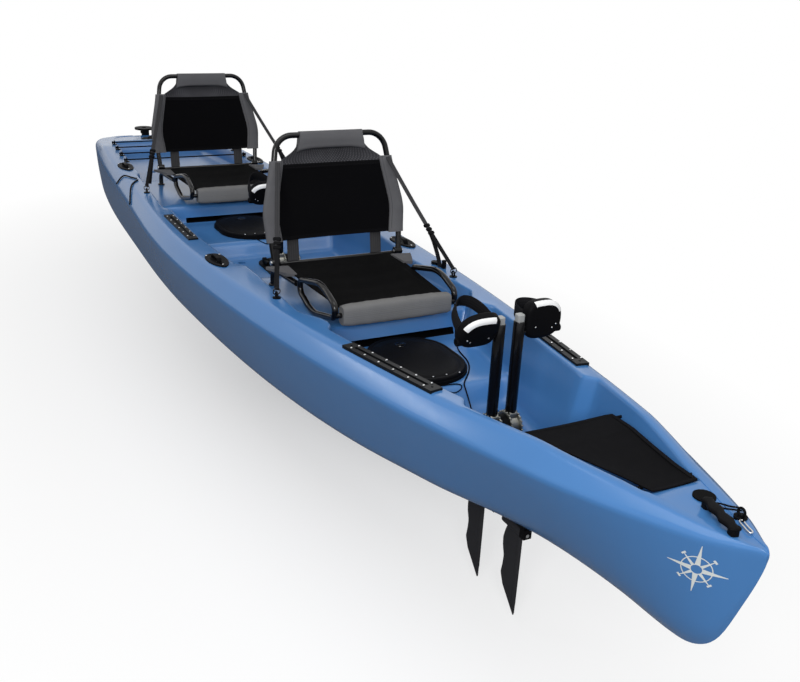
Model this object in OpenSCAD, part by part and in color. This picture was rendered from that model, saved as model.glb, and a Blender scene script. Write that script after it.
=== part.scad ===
// Tandem sit-on-top kayak with two folding-back seats and two pedal fin drives.
// X runs forward to the bow, Y to port, Z up; the origin is on the keel, amidships.

/* [Hull] */
// Length of the hull, stem to transom
hull_l = 4420; // [4250:10:4600]
// Greatest beam, over the crease
beam = 860; // [820:5:900]
// Height of the crease amidships
crease_h = 256; // [240:2:280]
// Rise of the deck shoulder above the crease
shoulder_h = 51; // [46:1:56]
// Width of the sloping deck side, crease to shoulder
shoulder_w = 42; // [38:1:48]
// Slope of the cockpit walls, from upright
wall_lean = 12; // [8:1:15]

/* [Cockpit] */
// Seat hinge of the front paddler, ahead of midship
front_seat_x = 444; // [420:2:470]
// Distance between the two paddlers
station_gap = 1436; // [1400:2:1460]
// Height of the foot wells
footwell_z = 150; // [140:1:160]
// Height of the hatch shelves
hatch_shelf_z = 205; // [195:1:212]
// Height of the seat platforms
seat_shelf_z = 270; // [262:1:276]
// Height of the cargo well floor
cargo_z = 230; // [220:1:240]
// Distance from the transom to the cargo well
cargo_gap = 280; // [260:5:330]
// Distance from the stem to the bow well
bow_well_gap = 240; // [220:5:270]
// Diameter of the scupper holes
scupper_d = 40; // [34:1:46]
// Distance between the two cart scuppers
cart_gap = 290; // [260:2:320]

/* [Deck hardware] */
// Length of an accessory track
track_l = 350; // [300:5:380]
// Width of an accessory track
track_w = 34; // [30:1:38]
// Thickness of an accessory track
track_t = 9; // [8:0.5:11]
// Hole for an accessory bolt at each end of a track
track_hole_d = 6.6; // [5.5:0.1:8]
// Length of a side handle plate
oval_l = 124; // [100:2:130]
// Width of a side handle plate
oval_w = 64; // [56:1:66]
// Diameter of the shock cords
cord_d = 6; // [5:0.5:8]

/* [Hatches] */
// Length of a hatch lid
lid_l = 304; // [280:2:310]
// Width of a hatch lid
lid_w = 244; // [220:2:250]
// Straight run at each end of a hatch lid
lid_flat = 8; // [4:1:40]
// Thickness of a hatch lid
lid_t = 9; // [8:1:12]
// Depth of the gear bucket under a hatch
bucket_d = 130; // [110:2:140]
// Wall of the gear bucket
bucket_wall = 3; // [2.5:0.5:4]

/* [Seats] */
// Diameter of the seat tubes
seat_tube_d = 18; // [16:1:20]
// Half width of the back frame at its hinge
back_half_w = 213; // [205:1:218]
// Height of the back frame along its slope
back_h = 380; // [366:2:392]
// Lean of the back at rest
back_lean = 12; // [10:0.5:15]
// Height of the back hinge
hinge_z = 352; // [346:1:358]
// Diameter of the hinge pins
hinge_pin_d = 8; // [6:0.5:9]
// Half distance between the side loops
loop_half = 188; // [180:1:194]

/* [Pedal drives] */
// Drive centre ahead of the seat hinge
drive_off = 976; // [960:2:990]
// Height of the front drive above the rear one
front_drive_lift = 20; // [15:1:25]
// Height of the pedal arm axis in the rear drive
arm_axis_z = 196; // [190:1:202]
// Length of a pedal arm, axis to pedal pin
arm_l = 270; // [258:1:280]
// Diameter of a pedal arm
arm_d = 26; // [22:1:28]
// Distance from the centre plane to a pedal arm
arm_y = 28; // [27:0.5:30]
// Width of a pedal
pedal_w = 98; // [92:1:110]
// Distance between the two fin masts
fin_gap = 168; // [160:2:176]
// Length of a fin below its axis
fin_l = 240; // [230:2:260]
// Chord of a fin
fin_chord = 80; // [72:1:86]
// Depth of the fin axis below the origin in the rear drive
fin_axis_drop = 18; // [14:1:22]
// Radial running clearance of a shaft
shaft_gap = 0.05; // [0.02:0.01:0.1]

/* [Rudder] */
// Distance from the transom to the steering axis
rudder_back = 46; // [42:1:56]
// Diameter of the steering drum on the rudder head
rudder_drum_d = 100; // [90:1:110]
// Depth of the rudder blade below its pivot
blade_drop = 330; // [300:5:360]
// Chord of the rudder blade
blade_chord = 112; // [95:1:125]
// Thickness of the rudder blade
blade_t = 8; // [6:0.5:10]

/* [Hidden] */
$fn = 48;

HULL_BLUE = [0.22, 0.45, 0.78];
BLACK = [0.06, 0.06, 0.07];
CHARCOAL = [0.16, 0.16, 0.17];
GREY = [0.42, 0.42, 0.43];
STEEL = [0.72, 0.73, 0.74];

half_l = hull_l / 2;
rear_seat_x = front_seat_x - station_gap;
cargo_end_x = half_l - cargo_gap;
bow_well_end_x = half_l - bow_well_gap;
SEATS = [rear_seat_x, front_seat_x];

// Shape curves, as pairs of a place along the half length (-1 transom, 1 stem) and a value
HALF_BEAM = [[-1, 0.38], [-0.973, 0.61], [-0.905, 0.72], [-0.724, 0.82], [-0.452, 0.9], [-0.068, 1],
  [0.271, 0.905], [0.588, 0.675], [0.814, 0.42], [0.95, 0.167], [1, 0.012]];
CREASE_RISE = [[-1, 10], [-0.54, -4], [0, 0], [0.54, 36], [0.81, 70], [1, 106]];
KEEL_Z = [[-1, 130], [-0.985, 86], [-0.96, 52], [-0.9, 28], [-0.78, 10], [-0.58, 0], [0.36, 0], [0.615, 16],
  [0.769, 55], [0.86, 72], [0.93, 82], [0.955, 104], [0.973, 152], [0.99, 258], [1, 330]];
CHINE_SHARE = [[-1, 0.9], [-0.86, 0.93], [-0.45, 0.9], [0, 0.82], [0.34, 0.77], [0.62, 0.64], [0.81, 0.43],
  [1, 0.4]];
CHINE_RISE = [[-1, 30], [-0.96, 26], [-0.9, 20], [-0.45, 13], [0, 22], [0.34, 33], [0.5, 46], [0.62, 65],
  [0.81, 78], [0.93, 64], [0.973, 40], [1, 12]];
SHOULDER_SHARE = [[-1, 0.5], [-0.5, 0.72], [0, 1], [1, 1]];

function clamp(v, lo, hi) = min(max(v, lo), hi);
function mix(a, b, s) = a + (b - a) * s;
function span_of(t, k, i = 0) = (i >= len(k) - 2 || t <= k[i + 1][0]) ? i : span_of(t, k, i + 1);
function slope_at(k, i) =
  let (a = max(i - 1, 0), b = min(i + 1, len(k) - 1)) (k[b][1] - k[a][1]) / (k[b][0] - k[a][0]);
function curve(t, k) =
  let (i = span_of(t, k), a = k[i], b = k[i + 1], h = b[0] - a[0], s = clamp((t - a[0]) / h, 0, 1))
  (2 * s^3 - 3 * s^2 + 1) * a[1] + (s^3 - 2 * s^2 + s) * h * slope_at(k, i)
  + (3 * s^2 - 2 * s^3) * b[1] + (s^3 - s^2) * h * slope_at(k, i + 1);

function end_taper(x) = clamp((1.018 - abs(x) / half_l) / 0.226, 0.15, 1);
function crease_y(x) = beam / 2 * curve(x / half_l, HALF_BEAM);
function crease_z(x) = crease_h + curve(x / half_l, CREASE_RISE);
function keel_z(x) = curve(x / half_l, KEEL_Z);
function chine_y(x) = crease_y(x) * curve(x / half_l, CHINE_SHARE);
function chine_z(x) = keel_z(x) + curve(x / half_l, CHINE_RISE);
function shoulder_y(x) =
  crease_y(x) - min(shoulder_w * curve(x / half_l, SHOULDER_SHARE), 0.3 * crease_y(x));
function deck_z(x) = crease_z(x) + shoulder_h * end_taper(x);

// Places along a paddler's station, measured from the seat hinge
shelf_back = -118;
drop_run = 24;
riser_x = 376;
riser_run = 10;
shelf_front = 716;
ramp_run = 40;
bow_jog_x = 1510;
bow_jog_run = 36;
end_wall_run = 30;
drive_floor = 220;
bow_rise = 40;
deck_dip = 2;
cargo_rim = 76;
rear_seat_rim = 60;
foot_rim = 82;
front_seat_rim = 106;
seat_end_rim = 50;
knee_rim = 78;
track_rim = 48;
bow_rim = 22;
knee_x = 440;
knee_l = 44;
knee_run = 42;

// Floor height and rim width along the boat, as straight runs between marks
FLOOR = concat(
  [[-cargo_end_x - end_wall_run, -1], [-cargo_end_x, cargo_z],
   [rear_seat_x + shelf_back - drop_run, cargo_z]],
  station_floor(rear_seat_x),
  [[front_seat_x + shelf_back - drop_run, footwell_z]],
  station_floor(front_seat_x),
  [[front_seat_x + drive_off + drive_floor, footwell_z], [bow_well_end_x, footwell_z + bow_rise]],
  [[bow_well_end_x + end_wall_run, -1]]);
RIM = concat(
  [[rear_seat_x + shelf_back - drop_run, cargo_rim], [rear_seat_x + shelf_back, rear_seat_rim]],
  [[rear_seat_x + knee_x + knee_l, rear_seat_rim], [rear_seat_x + knee_x + knee_l + knee_run, foot_rim]],
  [[front_seat_x + shelf_back - drop_run, foot_rim], [front_seat_x + shelf_back, front_seat_rim]],
  [[front_seat_x, front_seat_rim - 8], [front_seat_x + riser_x, seat_end_rim]],
  [[front_seat_x + knee_x, knee_rim], [front_seat_x + knee_x + knee_l, knee_rim]],
  [[front_seat_x + knee_x + knee_l + knee_run, track_rim]],
  [[bow_jog_x, track_rim], [bow_jog_x + bow_jog_run, bow_rim]]);
function station_floor(s) = [
  [s + shelf_back, seat_shelf_z], [s + riser_x, seat_shelf_z], [s + riser_x + riser_run, hatch_shelf_z],
  [s + shelf_front, hatch_shelf_z], [s + shelf_front + ramp_run, footwell_z]];
function floor_z(x) =
  (x <= FLOOR[0][0] || x >= FLOOR[len(FLOOR) - 1][0]) ? deck_z(x) - deck_dip
  : let (i = span_of(x, FLOOR), a = FLOOR[i], b = FLOOR[i + 1],
         za = a[1] < 0 ? deck_z(x) - deck_dip : a[1], zb = b[1] < 0 ? deck_z(x) - deck_dip : b[1])
    mix(za, zb, (x - a[0]) / (b[0] - a[0]));
function rim_y(x) = shoulder_y(x) - min(lookup(x, RIM), 0.5 * shoulder_y(x));

// Stations of the hull, with two at each step of the floor or rim
end_marks = [0, 12, 30, 55, 85, 120, 165, 220, 290];
MARKS = concat(
  [for (m = end_marks) m - half_l],
  [-cargo_end_x - end_wall_run, -cargo_end_x],
  [for (s = SEATS, m = [shelf_back - drop_run, shelf_back, riser_x, riser_x + riser_run, knee_x,
    knee_x + knee_l, knee_x + knee_l + knee_run, shelf_front, shelf_front + ramp_run]) s + m],
  [bow_jog_x, bow_jog_x + bow_jog_run, front_seat_x + drive_off + drive_floor],
  [bow_well_end_x, bow_well_end_x + end_wall_run],
  [for (i = [len(end_marks) - 1 : -1 : 0]) half_l - end_marks[i]]);
MARKS_UP = [for (i = [0 : len(MARKS) - 1]) if (i == 0 || MARKS[i] - MARKS[i - 1] > 4) MARKS[i]];
station_step = 118;
STATIONS = concat(
  [for (i = [0 : len(MARKS_UP) - 2])
    let (a = MARKS_UP[i], b = MARKS_UP[i + 1], n = max(1, ceil((b - a) / station_step)))
    for (j = [0 : n - 1]) mix(a, b, j / n)],
  [half_l]);

// A corner c between a and b, rounded by three points
function rounded(a, c, b, r) =
  let (la = norm(a - c), lb = norm(b - c), ra = min(r, la * 0.3), rb = min(r, lb * 0.3),
       p = c + (a - c) * ra / la, q = c + (b - c) * rb / lb)
  [p, (p + 2 * c + q) / 4, q];
chine_r = 26;
crease_r = 14;
edge_r = 9;
floor_r = 22;
function half_section(x) =
  let (yg = crease_y(x), zg = crease_z(x), yc = chine_y(x), zc = chine_z(x), zk = keel_z(x),
       ys = shoulder_y(x), zs = deck_z(x), yi = rim_y(x), zf = floor_z(x), d = zs - zf,
       lean = tan(wall_lean), re = min(edge_r, 0.4 * d, 0.2 * yi), rf = min(floor_r, 0.4 * d, 0.2 * yi),
       bottom = [0.55 * yc, mix(zk, zc, 0.42)], crease = [yg, zg], chine = [yc, zc], shoulder = [ys, zs])
  concat(
    [[0, zk], bottom],
    rounded(bottom, chine, crease, chine_r),
    [mix(chine, crease, 0.55) + [0.012 * yg, 0]],
    rounded(chine, crease, shoulder, crease_r),
    [shoulder + (crease - shoulder) * 0.24, shoulder - [min(14, 0.06 * yg), 0]],
    [[yi + re, zs], [yi, zs - re]],
    [[yi - lean * (d - re - rf), zf + rf], [yi - lean * (d - re) - rf, zf]],
    [[0, zf]]);

function ring_at(x) =
  let (h = half_section(x), n = len(h))
  concat([for (p = h) [x, p[0], p[1]]], [for (i = [n - 2 : -1 : 1]) [x, -h[i][0], h[i][1]]]);

// A loft through rings of equal count, capped at both ends or joined into a loop
module loft(rings, joined = false) {
  n = len(rings[0]);
  m = len(rings);
  points = [for (r = rings, p = r) p];
  sides = [for (i = [0 : joined ? m - 1 : m - 2], j = [0 : n - 1])
    let (k = (i + 1) % m, a = i * n + j, b = i * n + (j + 1) % n, c = k * n + j, d = k * n + (j + 1) % n)
    each [[a, c, b], [b, c, d]]];
  caps = joined ? [] : [[for (j = [0 : n - 1]) j], [for (j = [n - 1 : -1 : 0]) (m - 1) * n + j]];
  polyhedron(points, concat(sides, caps), convexity = 10);
}

// A frame whose X axis follows a to b, upright in the plane that holds Z
module along(a, b) {
  d = b - a;
  translate(a) rotate([0, -atan2(d[2], norm([d[0], d[1]])), atan2(d[1], d[0])]) children();
}
module rod(a, b, d) {
  along(a, b) rotate([0, 90, 0]) cylinder(h = norm(b - a), d = d);
}

// Points of a tube's middle line: straight runs, with a round bend of radius r[i] at each inner point
function unit(v) = v / norm(v);
bend_step = 24;
function bend_points(a, c, b, r) =
  let (u = unit(c - a), w = unit(b - c), turn = acos(clamp(u * w, -1, 1)))
  turn < 1 ? [c]
  : let (v = unit(w - u * (u * w)), start = c - u * r * tan(turn / 2), n = max(2, ceil(turn / bend_step)))
    [for (i = [0 : n]) start + u * r * sin(turn * i / n) + v * r * (1 - cos(turn * i / n))];
function bent_line(p, r) = concat(
  [p[0]],
  [for (i = [1 : len(p) - 2]) each bend_points(p[i - 1], p[i], p[i + 1], r[i])],
  [p[len(p) - 1]]);
function bent_loop(p, r) = let (n = len(p))
  [for (i = [0 : n - 1]) each bend_points(p[(i + n - 1) % n], p[i], p[(i + 1) % n], r[i])];

// Rings round a cord's or tube's points, and a flat strap's points; up lies across every run
function tangent(p, i, joined = false) = let (n = len(p))
  joined ? unit(p[(i + 1) % n] - p[(i + n - 1) % n]) : unit(p[min(i + 1, n - 1)] - p[max(i - 1, 0)]);
function cord_rings(p, d, sides, up = [0, 0, 1], joined = false) = [for (i = [0 : len(p) - 1])
  let (t = tangent(p, i, joined), s = unit(cross(up, t)), n = cross(t, s))
  [for (k = [0 : sides - 1]) p[i] + d / 2 * (cos(360 * k / sides) * s + sin(360 * k / sides) * n)]];
function strap_rings(p, w, t, across) = [for (i = [0 : len(p) - 1])
  let (u = tangent(p, i), s = unit(across - u * (across * u)), n = cross(u, s))
  [p[i] - s * w / 2 - n * t / 2, p[i] + s * w / 2 - n * t / 2,
   p[i] + s * w / 2 + n * t / 2, p[i] - s * w / 2 + n * t / 2]];
tube_sides = 12;
module tube(p, r, d, up) {
  loft(cord_rings(bent_line(p, r), d, tube_sides, up));
}
module tube_loop(p, r, d, up) {
  loft(cord_rings(bent_loop(p, r), d, tube_sides, up, true), true);
}

// Flat outlines
module oblong(l, w) {
  square([l - w, w], center = true);
  for (s = [-1, 1]) translate([s * (l - w) / 2, 0]) circle(d = w);
}
module round_rect(l, w, r) {
  square([l - 2 * r, w], center = true);
  square([l, w - 2 * r], center = true);
  for (sx = [-1, 1], sy = [-1, 1]) translate([sx * (l / 2 - r), sy * (w / 2 - r)]) circle(r = r);
}

// A place on the flat rim at x, pitched with the deck; the frame sinks into the rim's pocket
rim_sink = 3;
function rim_mid(x) = (shoulder_y(x) + rim_y(x)) / 2;
module on_rim(x, side, y) {
  run = 40;
  translate([x, side * y, deck_z(x) - rim_sink])
    rotate([0, -atan2(deck_z(x + run) - deck_z(x - run), 2 * run), 0]) children();
}

// Accessory tracks: two ends on the rim's middle line
track_off = 664;
rear_track_off = 622;
track_in = 20;
function track_end(s, side, e) = let (front = s == front_seat_x,
  x = s + (front ? track_off : rear_track_off) + e * track_l * 0.985,
  y = front ? shoulder_y(x) - track_in : rim_mid(x) - 8)
  [x, side * y, deck_z(x) - rim_sink];
module at_track(s, side) {
  along(track_end(s, side, 0), track_end(s, side, 1)) children();
}
track_pocket_gap = 0.3;
track_slot_w = 9;
track_slot_d = 5;
track_bolt_in = 16;
screw_rows = 11.5;
screw_count = 6;
screw_d = 6.4;
screw_h = 1.8;
module track_body() {
  difference() {
    translate([0, -track_w / 2, 0]) cube([track_l, track_w, track_t]);
    translate([2 * track_bolt_in, -track_slot_w / 2, track_t - track_slot_d])
      cube([track_l - 4 * track_bolt_in, track_slot_w, track_t]);
    for (x = [track_bolt_in, track_l - track_bolt_in])
      translate([x, 0, -1]) cylinder(h = track_t + 2, d = track_hole_d);
  }
}
module track_pocket() {
  translate([-track_pocket_gap, -track_w / 2 - track_pocket_gap, 0])
    cube([track_l + 2 * track_pocket_gap, track_w + 2 * track_pocket_gap, 3 * track_t]);
}
module track_pair(s) {
  color(BLACK) for (side = [-1, 1]) at_track(s, side) track_body();
}
module front_tracks() track_pair(front_seat_x);
module rear_tracks() track_pair(rear_seat_x);
module track_screws() {
  pitch = (track_l - 4 * track_bolt_in) / (screw_count - 1);
  color(STEEL) for (s = SEATS, side = [-1, 1]) at_track(s, side)
    for (i = [0 : screw_count - 1], row = [-1, 1])
      translate([2 * track_bolt_in + i * pitch, row * screw_rows, track_t]) cylinder(h = screw_h, d = screw_d);
}

// Side handles: an oval plate with a low bridge across it
side_handle_off = -206;
rear_handle_off = -280;
SIDE_HANDLES = [front_seat_x + side_handle_off, rear_seat_x + rear_handle_off];
oval_t = 8;
bridge_l = 66;
bridge_w = 15;
bridge_h = 25;
bridge_wall = 7;
bridge_gap = 12;
module handle_plate(l, w) {
  linear_extrude(oval_t) oblong(l, w);
  difference() {
    translate([-bridge_l / 2, -bridge_w / 2, 0]) cube([bridge_l, bridge_w, bridge_h]);
    translate([-bridge_l / 2 + bridge_wall, -w, oval_t])
      cube([bridge_l - 2 * bridge_wall, 2 * w, bridge_gap]);
  }
}
pocket_gap = 0.3;
module plate_pocket(l, w) {
  linear_extrude(5 * oval_t) oblong(l + 2 * pocket_gap, w + 2 * pocket_gap);
}
module side_handles() {
  color(BLACK) for (x = SIDE_HANDLES, side = [-1, 1]) on_rim(x, side, rim_mid(x)) handle_plate(oval_l, oval_w);
}
stern_handle_x = -half_l + 190;
stern_handle_l = 134;
module stern_handle() {
  color(BLACK) translate([stern_handle_x, 0, deck_z(stern_handle_x) - deck_dip - rim_sink])
    rotate([0, 0, 90]) handle_plate(stern_handle_l, oval_w);
}

// Bow handle: an arch on two feet, scalloped for the fingers
bow_handle_x = half_l - 104;
bow_handle_l = 104;
bow_foot_l = 18;
bow_grip_w = 20;
bow_grip_t = 10;
bow_arch = 21;
scallop_r = 9;
module at_bow_deck(x) {
  run = 30;
  translate([x, 0, deck_z(x) - deck_dip - rim_sink])
    rotate([0, -atan2(deck_z(x + run) - deck_z(x - run), 2 * run), 0]) children();
}
module bow_handle() {
  color(BLACK) at_bow_deck(bow_handle_x) difference() {
    translate([0, bow_grip_w / 2, 0]) rotate([90, 0, 0]) linear_extrude(bow_grip_w) difference() {
      union() {
        for (s = [-1, 1]) translate([s * (bow_handle_l - bow_foot_l) / 2 - bow_foot_l / 2, 0])
          square([bow_foot_l, bow_arch]);
        translate([-bow_handle_l / 2, bow_arch - bow_grip_t / 2]) square([bow_handle_l, bow_grip_t]);
      }
      translate([-bow_handle_l / 2 + bow_foot_l, -1])
        square([bow_handle_l - 2 * bow_foot_l, bow_arch - bow_grip_t / 2 + 1]);
    }
    for (i = [-1 : 1], s = [-1, 1])
      translate([i * 22, s * (bow_grip_w / 2 + scallop_r - 3), bow_arch - bow_grip_t])
        cylinder(h = 3 * bow_grip_t, r = scallop_r);
  }
}
module bow_handle_pockets() {
  at_bow_deck(bow_handle_x) for (s = [-1, 1])
    translate([s * (bow_handle_l - bow_foot_l) / 2 - bow_foot_l / 2 - pocket_gap,
      -bow_grip_w / 2 - pocket_gap, 0])
      cube([bow_foot_l + 2 * pocket_gap, bow_grip_w + 2 * pocket_gap, bow_arch]);
}
badge_x = half_l - 174;
badge_y = 25;
badge_d = 42;
badge_t = 6;
module bow_badge() {
  color(BLACK) at_bow_deck(badge_x) translate([0, badge_y, 0]) cylinder(h = badge_t, d = badge_d);
}

// Padeyes: a round foot with a standing ring
eye_foot_d = 24;
eye_foot_t = 6;
eye_ring_r = 7.5;
eye_wire_d = 5;
eye_h = eye_foot_t + eye_ring_r;
module padeye() {
  cylinder(h = eye_foot_t, d = eye_foot_d);
  translate([0, 0, eye_h]) rotate([90, 0, 0]) rotate_extrude() translate([eye_ring_r, 0]) circle(d = eye_wire_d);
}
anchor_off = 235;
anchor_in = 20;
cargo_eye_in = 16;
cargo_first = 372;
cargo_last = 146;
CARGO_EYES = [for (i = [0 : 3]) mix(rear_seat_x - cargo_first, cargo_last - cargo_end_x, i / 3)];
function cargo_eye_y(x) = rim_y(x) + cargo_eye_in;
function anchor_y(s) = rim_y(s + anchor_off) + anchor_in;
EYES = concat(
  [for (s = SEATS, side = [-1, 1]) [s + anchor_off, side, anchor_y(s)]],
  [for (x = CARGO_EYES, side = [-1, 1]) [x, side, cargo_eye_y(x)]]);
bow_eye_x = half_l - 96;
bow_eye_y = 34;
module deck_padeyes() {
  color(BLACK) {
    for (e = EYES) on_rim(e[0], e[1], e[2]) padeye();
    on_rim(bow_eye_x, 1, bow_eye_y) padeye();
  }
}
module padeye_pockets() {
  for (e = EYES) on_rim(e[0], e[1], e[2]) cylinder(h = 4 * eye_foot_t, d = eye_foot_d + 2 * pocket_gap);
  on_rim(bow_eye_x, 1, bow_eye_y) cylinder(h = 4 * eye_foot_t, d = eye_foot_d + 2 * pocket_gap);
}

// Shock cords across the cargo well, from ring to ring
knot_gap = 0.3;
knot_d = 13;
knot_l = 9;
module cargo_bungees() {
  reach = eye_wire_d / 2 + knot_gap;
  color(BLACK) for (x = CARGO_EYES) translate([x, 0, deck_z(x) - rim_sink + eye_h]) {
    y = cargo_eye_y(x) + reach;
    rod([0, -y - 1, 0], [0, y + 1, 0], cord_d);
    for (side = [-1, 1]) rod([0, side * y, 0], [0, side * (y + knot_l), 0], knot_d);
  }
}
// Paddle keeper: two cords from the cockpit edge, out over the deck side to the crease
function deck_side(x, f, up) =
  let (w = crease_y(x) - shoulder_y(x), h = deck_z(x) - crease_z(x), s = clamp((1.15 - f) / 0.3, 0, 1),
       n = unit([h * s, mix(norm([w, h]), w, s)]),
       q = f <= 1 ? [mix(crease_y(x), shoulder_y(x), f), mix(crease_z(x), deck_z(x), f)]
                  : [mix(shoulder_y(x), rim_y(x), f - 1), deck_z(x)])
  [x, -q[0] - n[0] * up, q[1] + n[1] * up];
keeper_x = rear_seat_x;
keeper_up = cord_d / 2 + 0.5;
KEEPER = [for (p = [[-16, 1.7], [-44, 1.4], [-84, 1.1], [-104, 0.85], [-122, 0.5], [-130, 0.15]])
  deck_side(keeper_x + p[0], p[1], keeper_up)];
KEEPER_2 = [for (p = [[10, 1.7], [40, 1.4], [84, 1.1], [122, 0.85], [174, 0.5], [238, 0.15]])
  deck_side(keeper_x + p[0], p[1], keeper_up)];
module paddle_bungee() {
  color(BLACK) {
    loft(cord_rings(KEEPER, cord_d, 8));
    loft(cord_rings(KEEPER_2, cord_d, 8));
  }
}

// Mesh cover of the bow well, low at its back edge, held by a hook at each corner
mesh_back = bow_well_end_x - 310;
mesh_front = bow_well_end_x + 12;
mesh_back_gap = 30;
mesh_front_gap = 8;
mesh_back_low = 30;
mesh_front_low = -2;
mesh_t = 3;
mesh_sag = 7;
mesh_rows = 6;
mesh_cols = 3;
function mesh_at(f, g) = let (x = mix(mesh_back, mesh_front, f))
  [x, g * (rim_y(x) - mix(mesh_back_gap, mesh_front_gap, f)),
   deck_z(x) - mix(mesh_back_low, mesh_front_low, f) - mesh_sag * (0.25 + 3 * f * (1 - f)) * (1 - g^2)];
module bow_mesh_cover() {
  color(CHARCOAL) loft([for (i = [0 : mesh_rows]) concat(
    [for (j = [-mesh_cols : mesh_cols]) mesh_at(i / mesh_rows, j / mesh_cols) - [0, 0, mesh_t]],
    [for (j = [mesh_cols : -1 : -mesh_cols]) mesh_at(i / mesh_rows, j / mesh_cols)])]);
}
hook_d = 7;
hook_in = 6;
hook_drop = 0.8;
hook_seat = 4;
module mesh_hook_rods(grow) {
  for (f = [0.03, 0.93], side = [-1, 1]) {
    a = mesh_at(f, side) - [0, 0, mesh_t + hook_d / 2 + hook_drop];
    wall = rim_y(a[0]) - tan(wall_lean) * (deck_z(a[0]) - a[2]) + hook_seat;
    rod([a[0], a[1] - side * hook_in, a[2]], [a[0], side * (wall + grow), a[2]], hook_d + 2 * grow);
  }
}
module mesh_hooks() {
  color(BLACK) mesh_hook_rods(0);
}
module mesh_hook_pockets() mesh_hook_rods(pocket_gap);

// Hatches: bucket in the pocket of the shelf, rim over its flange, and a lid that lifts out
hatch_off = 546;
bucket_gap = 2;
bucket_flange = 12;
bucket_flange_t = 3;
rim_t = 6;
rim_out = 4;
lid_seat_gap = 0.3;
lid_lip = 6;
finger_d = 34;
lid_r = (lid_w - lid_flat) / 2;
bucket_l = lid_l - 44;
bucket_w = lid_w - 44;
bucket_r = lid_r - 22;
module at_hatch(s) {
  translate([s + hatch_off, 0, hatch_shelf_z]) children();
}
lid_z = bucket_flange_t + rim_t + lid_seat_gap;
module hatch_bucket(s) {
  color(BLACK) at_hatch(s) difference() {
    union() {
      translate([0, 0, -bucket_d]) linear_extrude(bucket_d + 1) round_rect(bucket_l, bucket_w, bucket_r);
      linear_extrude(bucket_flange_t)
        round_rect(bucket_l + 2 * bucket_flange, bucket_w + 2 * bucket_flange, bucket_r + bucket_flange);
    }
    translate([0, 0, -bucket_d + bucket_wall]) linear_extrude(bucket_d + 20)
      round_rect(bucket_l - 2 * bucket_wall, bucket_w - 2 * bucket_wall, bucket_r - bucket_wall);
  }
}
module hatch_rim(s) {
  color(BLACK) at_hatch(s) {
    difference() {
      translate([0, 0, bucket_flange_t]) linear_extrude(rim_t)
        round_rect(lid_l + 2 * rim_out, lid_w + 2 * rim_out, lid_r + rim_out);
      translate([0, 0, -1]) linear_extrude(rim_t + 20) round_rect(bucket_l, bucket_w, bucket_r);
    }
    difference() {
      linear_extrude(bucket_flange_t)
        round_rect(lid_l + 2 * rim_out, lid_w + 2 * rim_out, lid_r + rim_out);
      translate([0, 0, -1]) linear_extrude(20) round_rect(bucket_l + 2 * bucket_flange + 0.6,
        bucket_w + 2 * bucket_flange + 0.6, bucket_r + bucket_flange + 0.3);
    }
  }
}
module hatch_lid(s) {
  color(BLACK) at_hatch(s) difference() {
    union() {
      translate([0, 0, lid_z]) linear_extrude(lid_t) round_rect(lid_l, lid_w, lid_r);
      translate([0, 0, lid_z - lid_lip]) linear_extrude(lid_lip + 1)
        round_rect(bucket_l - 14, bucket_w - 14, bucket_r - 7);
    }
    translate([-lid_l / 2 + 58, 0, lid_z + lid_t - 7]) intersection() {
      cylinder(h = 20, d = finger_d);
      translate([-finger_d / 4, -finger_d, -1]) cube([finger_d, 2 * finger_d, 30]);
    }
  }
}
module hatch_pocket(s) {
  at_hatch(s) translate([0, 0, -bucket_d - bucket_gap]) linear_extrude(bucket_d + 10)
    round_rect(bucket_l + 2 * bucket_gap, bucket_w + 2 * bucket_gap, bucket_r + bucket_gap);
}
module front_hatch_rim() hatch_rim(front_seat_x);
module rear_hatch_rim() hatch_rim(rear_seat_x);
module front_hatch_bucket() hatch_bucket(front_seat_x);
module rear_hatch_bucket() hatch_bucket(rear_seat_x);
module front_hatch_lid() hatch_lid(front_seat_x);
module rear_hatch_lid() hatch_lid(rear_seat_x);

// Drive wells: a slot through the hull under each drive
well_l = 340;
well_w = 84;
module drive_well(s) {
  translate([s + drive_off, 0, -60]) linear_extrude(footwell_z + 160) oblong(well_l, well_w);
}
// Scuppers: two for a cart under the cargo well, two in each foot well
scupper_x = rear_seat_x - 470;
drain_off = 800;
drain_half = 112;
module scuppers() {
  for (side = [-1, 1]) translate([scupper_x, side * cart_gap / 2, -20]) cylinder(h = cargo_z + 60, d = scupper_d);
  for (s = SEATS, side = [-1, 1])
    translate([s + drain_off, side * drain_half, -20]) cylinder(h = footwell_z + 40, d = scupper_d * 0.7);
}
module hull() {
  color(HULL_BLUE) difference() {
    loft([for (x = STATIONS) ring_at(x)]);
    for (s = SEATS) {
      drive_well(s);
      hatch_pocket(s);
      for (side = [-1, 1]) at_track(s, side) track_pocket();
    }
    for (x = SIDE_HANDLES, side = [-1, 1]) on_rim(x, side, rim_mid(x)) plate_pocket(oval_l, oval_w);
    translate([stern_handle_x, 0, deck_z(stern_handle_x) - deck_dip - rim_sink]) rotate([0, 0, 90])
      plate_pocket(stern_handle_l, oval_w);
    bow_handle_pockets();
    at_bow_deck(badge_x) translate([0, badge_y, 0])
      cylinder(h = 4 * badge_t, d = badge_d + 2 * pocket_gap);
    padeye_pockets();
    mesh_hook_pockets();
    scuppers();
    lever_pocket();
  }
}

// Drain plug on the transom
plug_y = -92;
plug_z = 205;
module drain_plug() {
  color(BLACK) translate([-half_l, plug_y, plug_z]) rotate([0, -90, 0]) {
    cylinder(h = 5, d = 34);
    translate([-6, 0, 5]) mirror([0, 0, 0]) translate([0, -3, 0]) cube([12, 6, 5]);
  }
}

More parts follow.
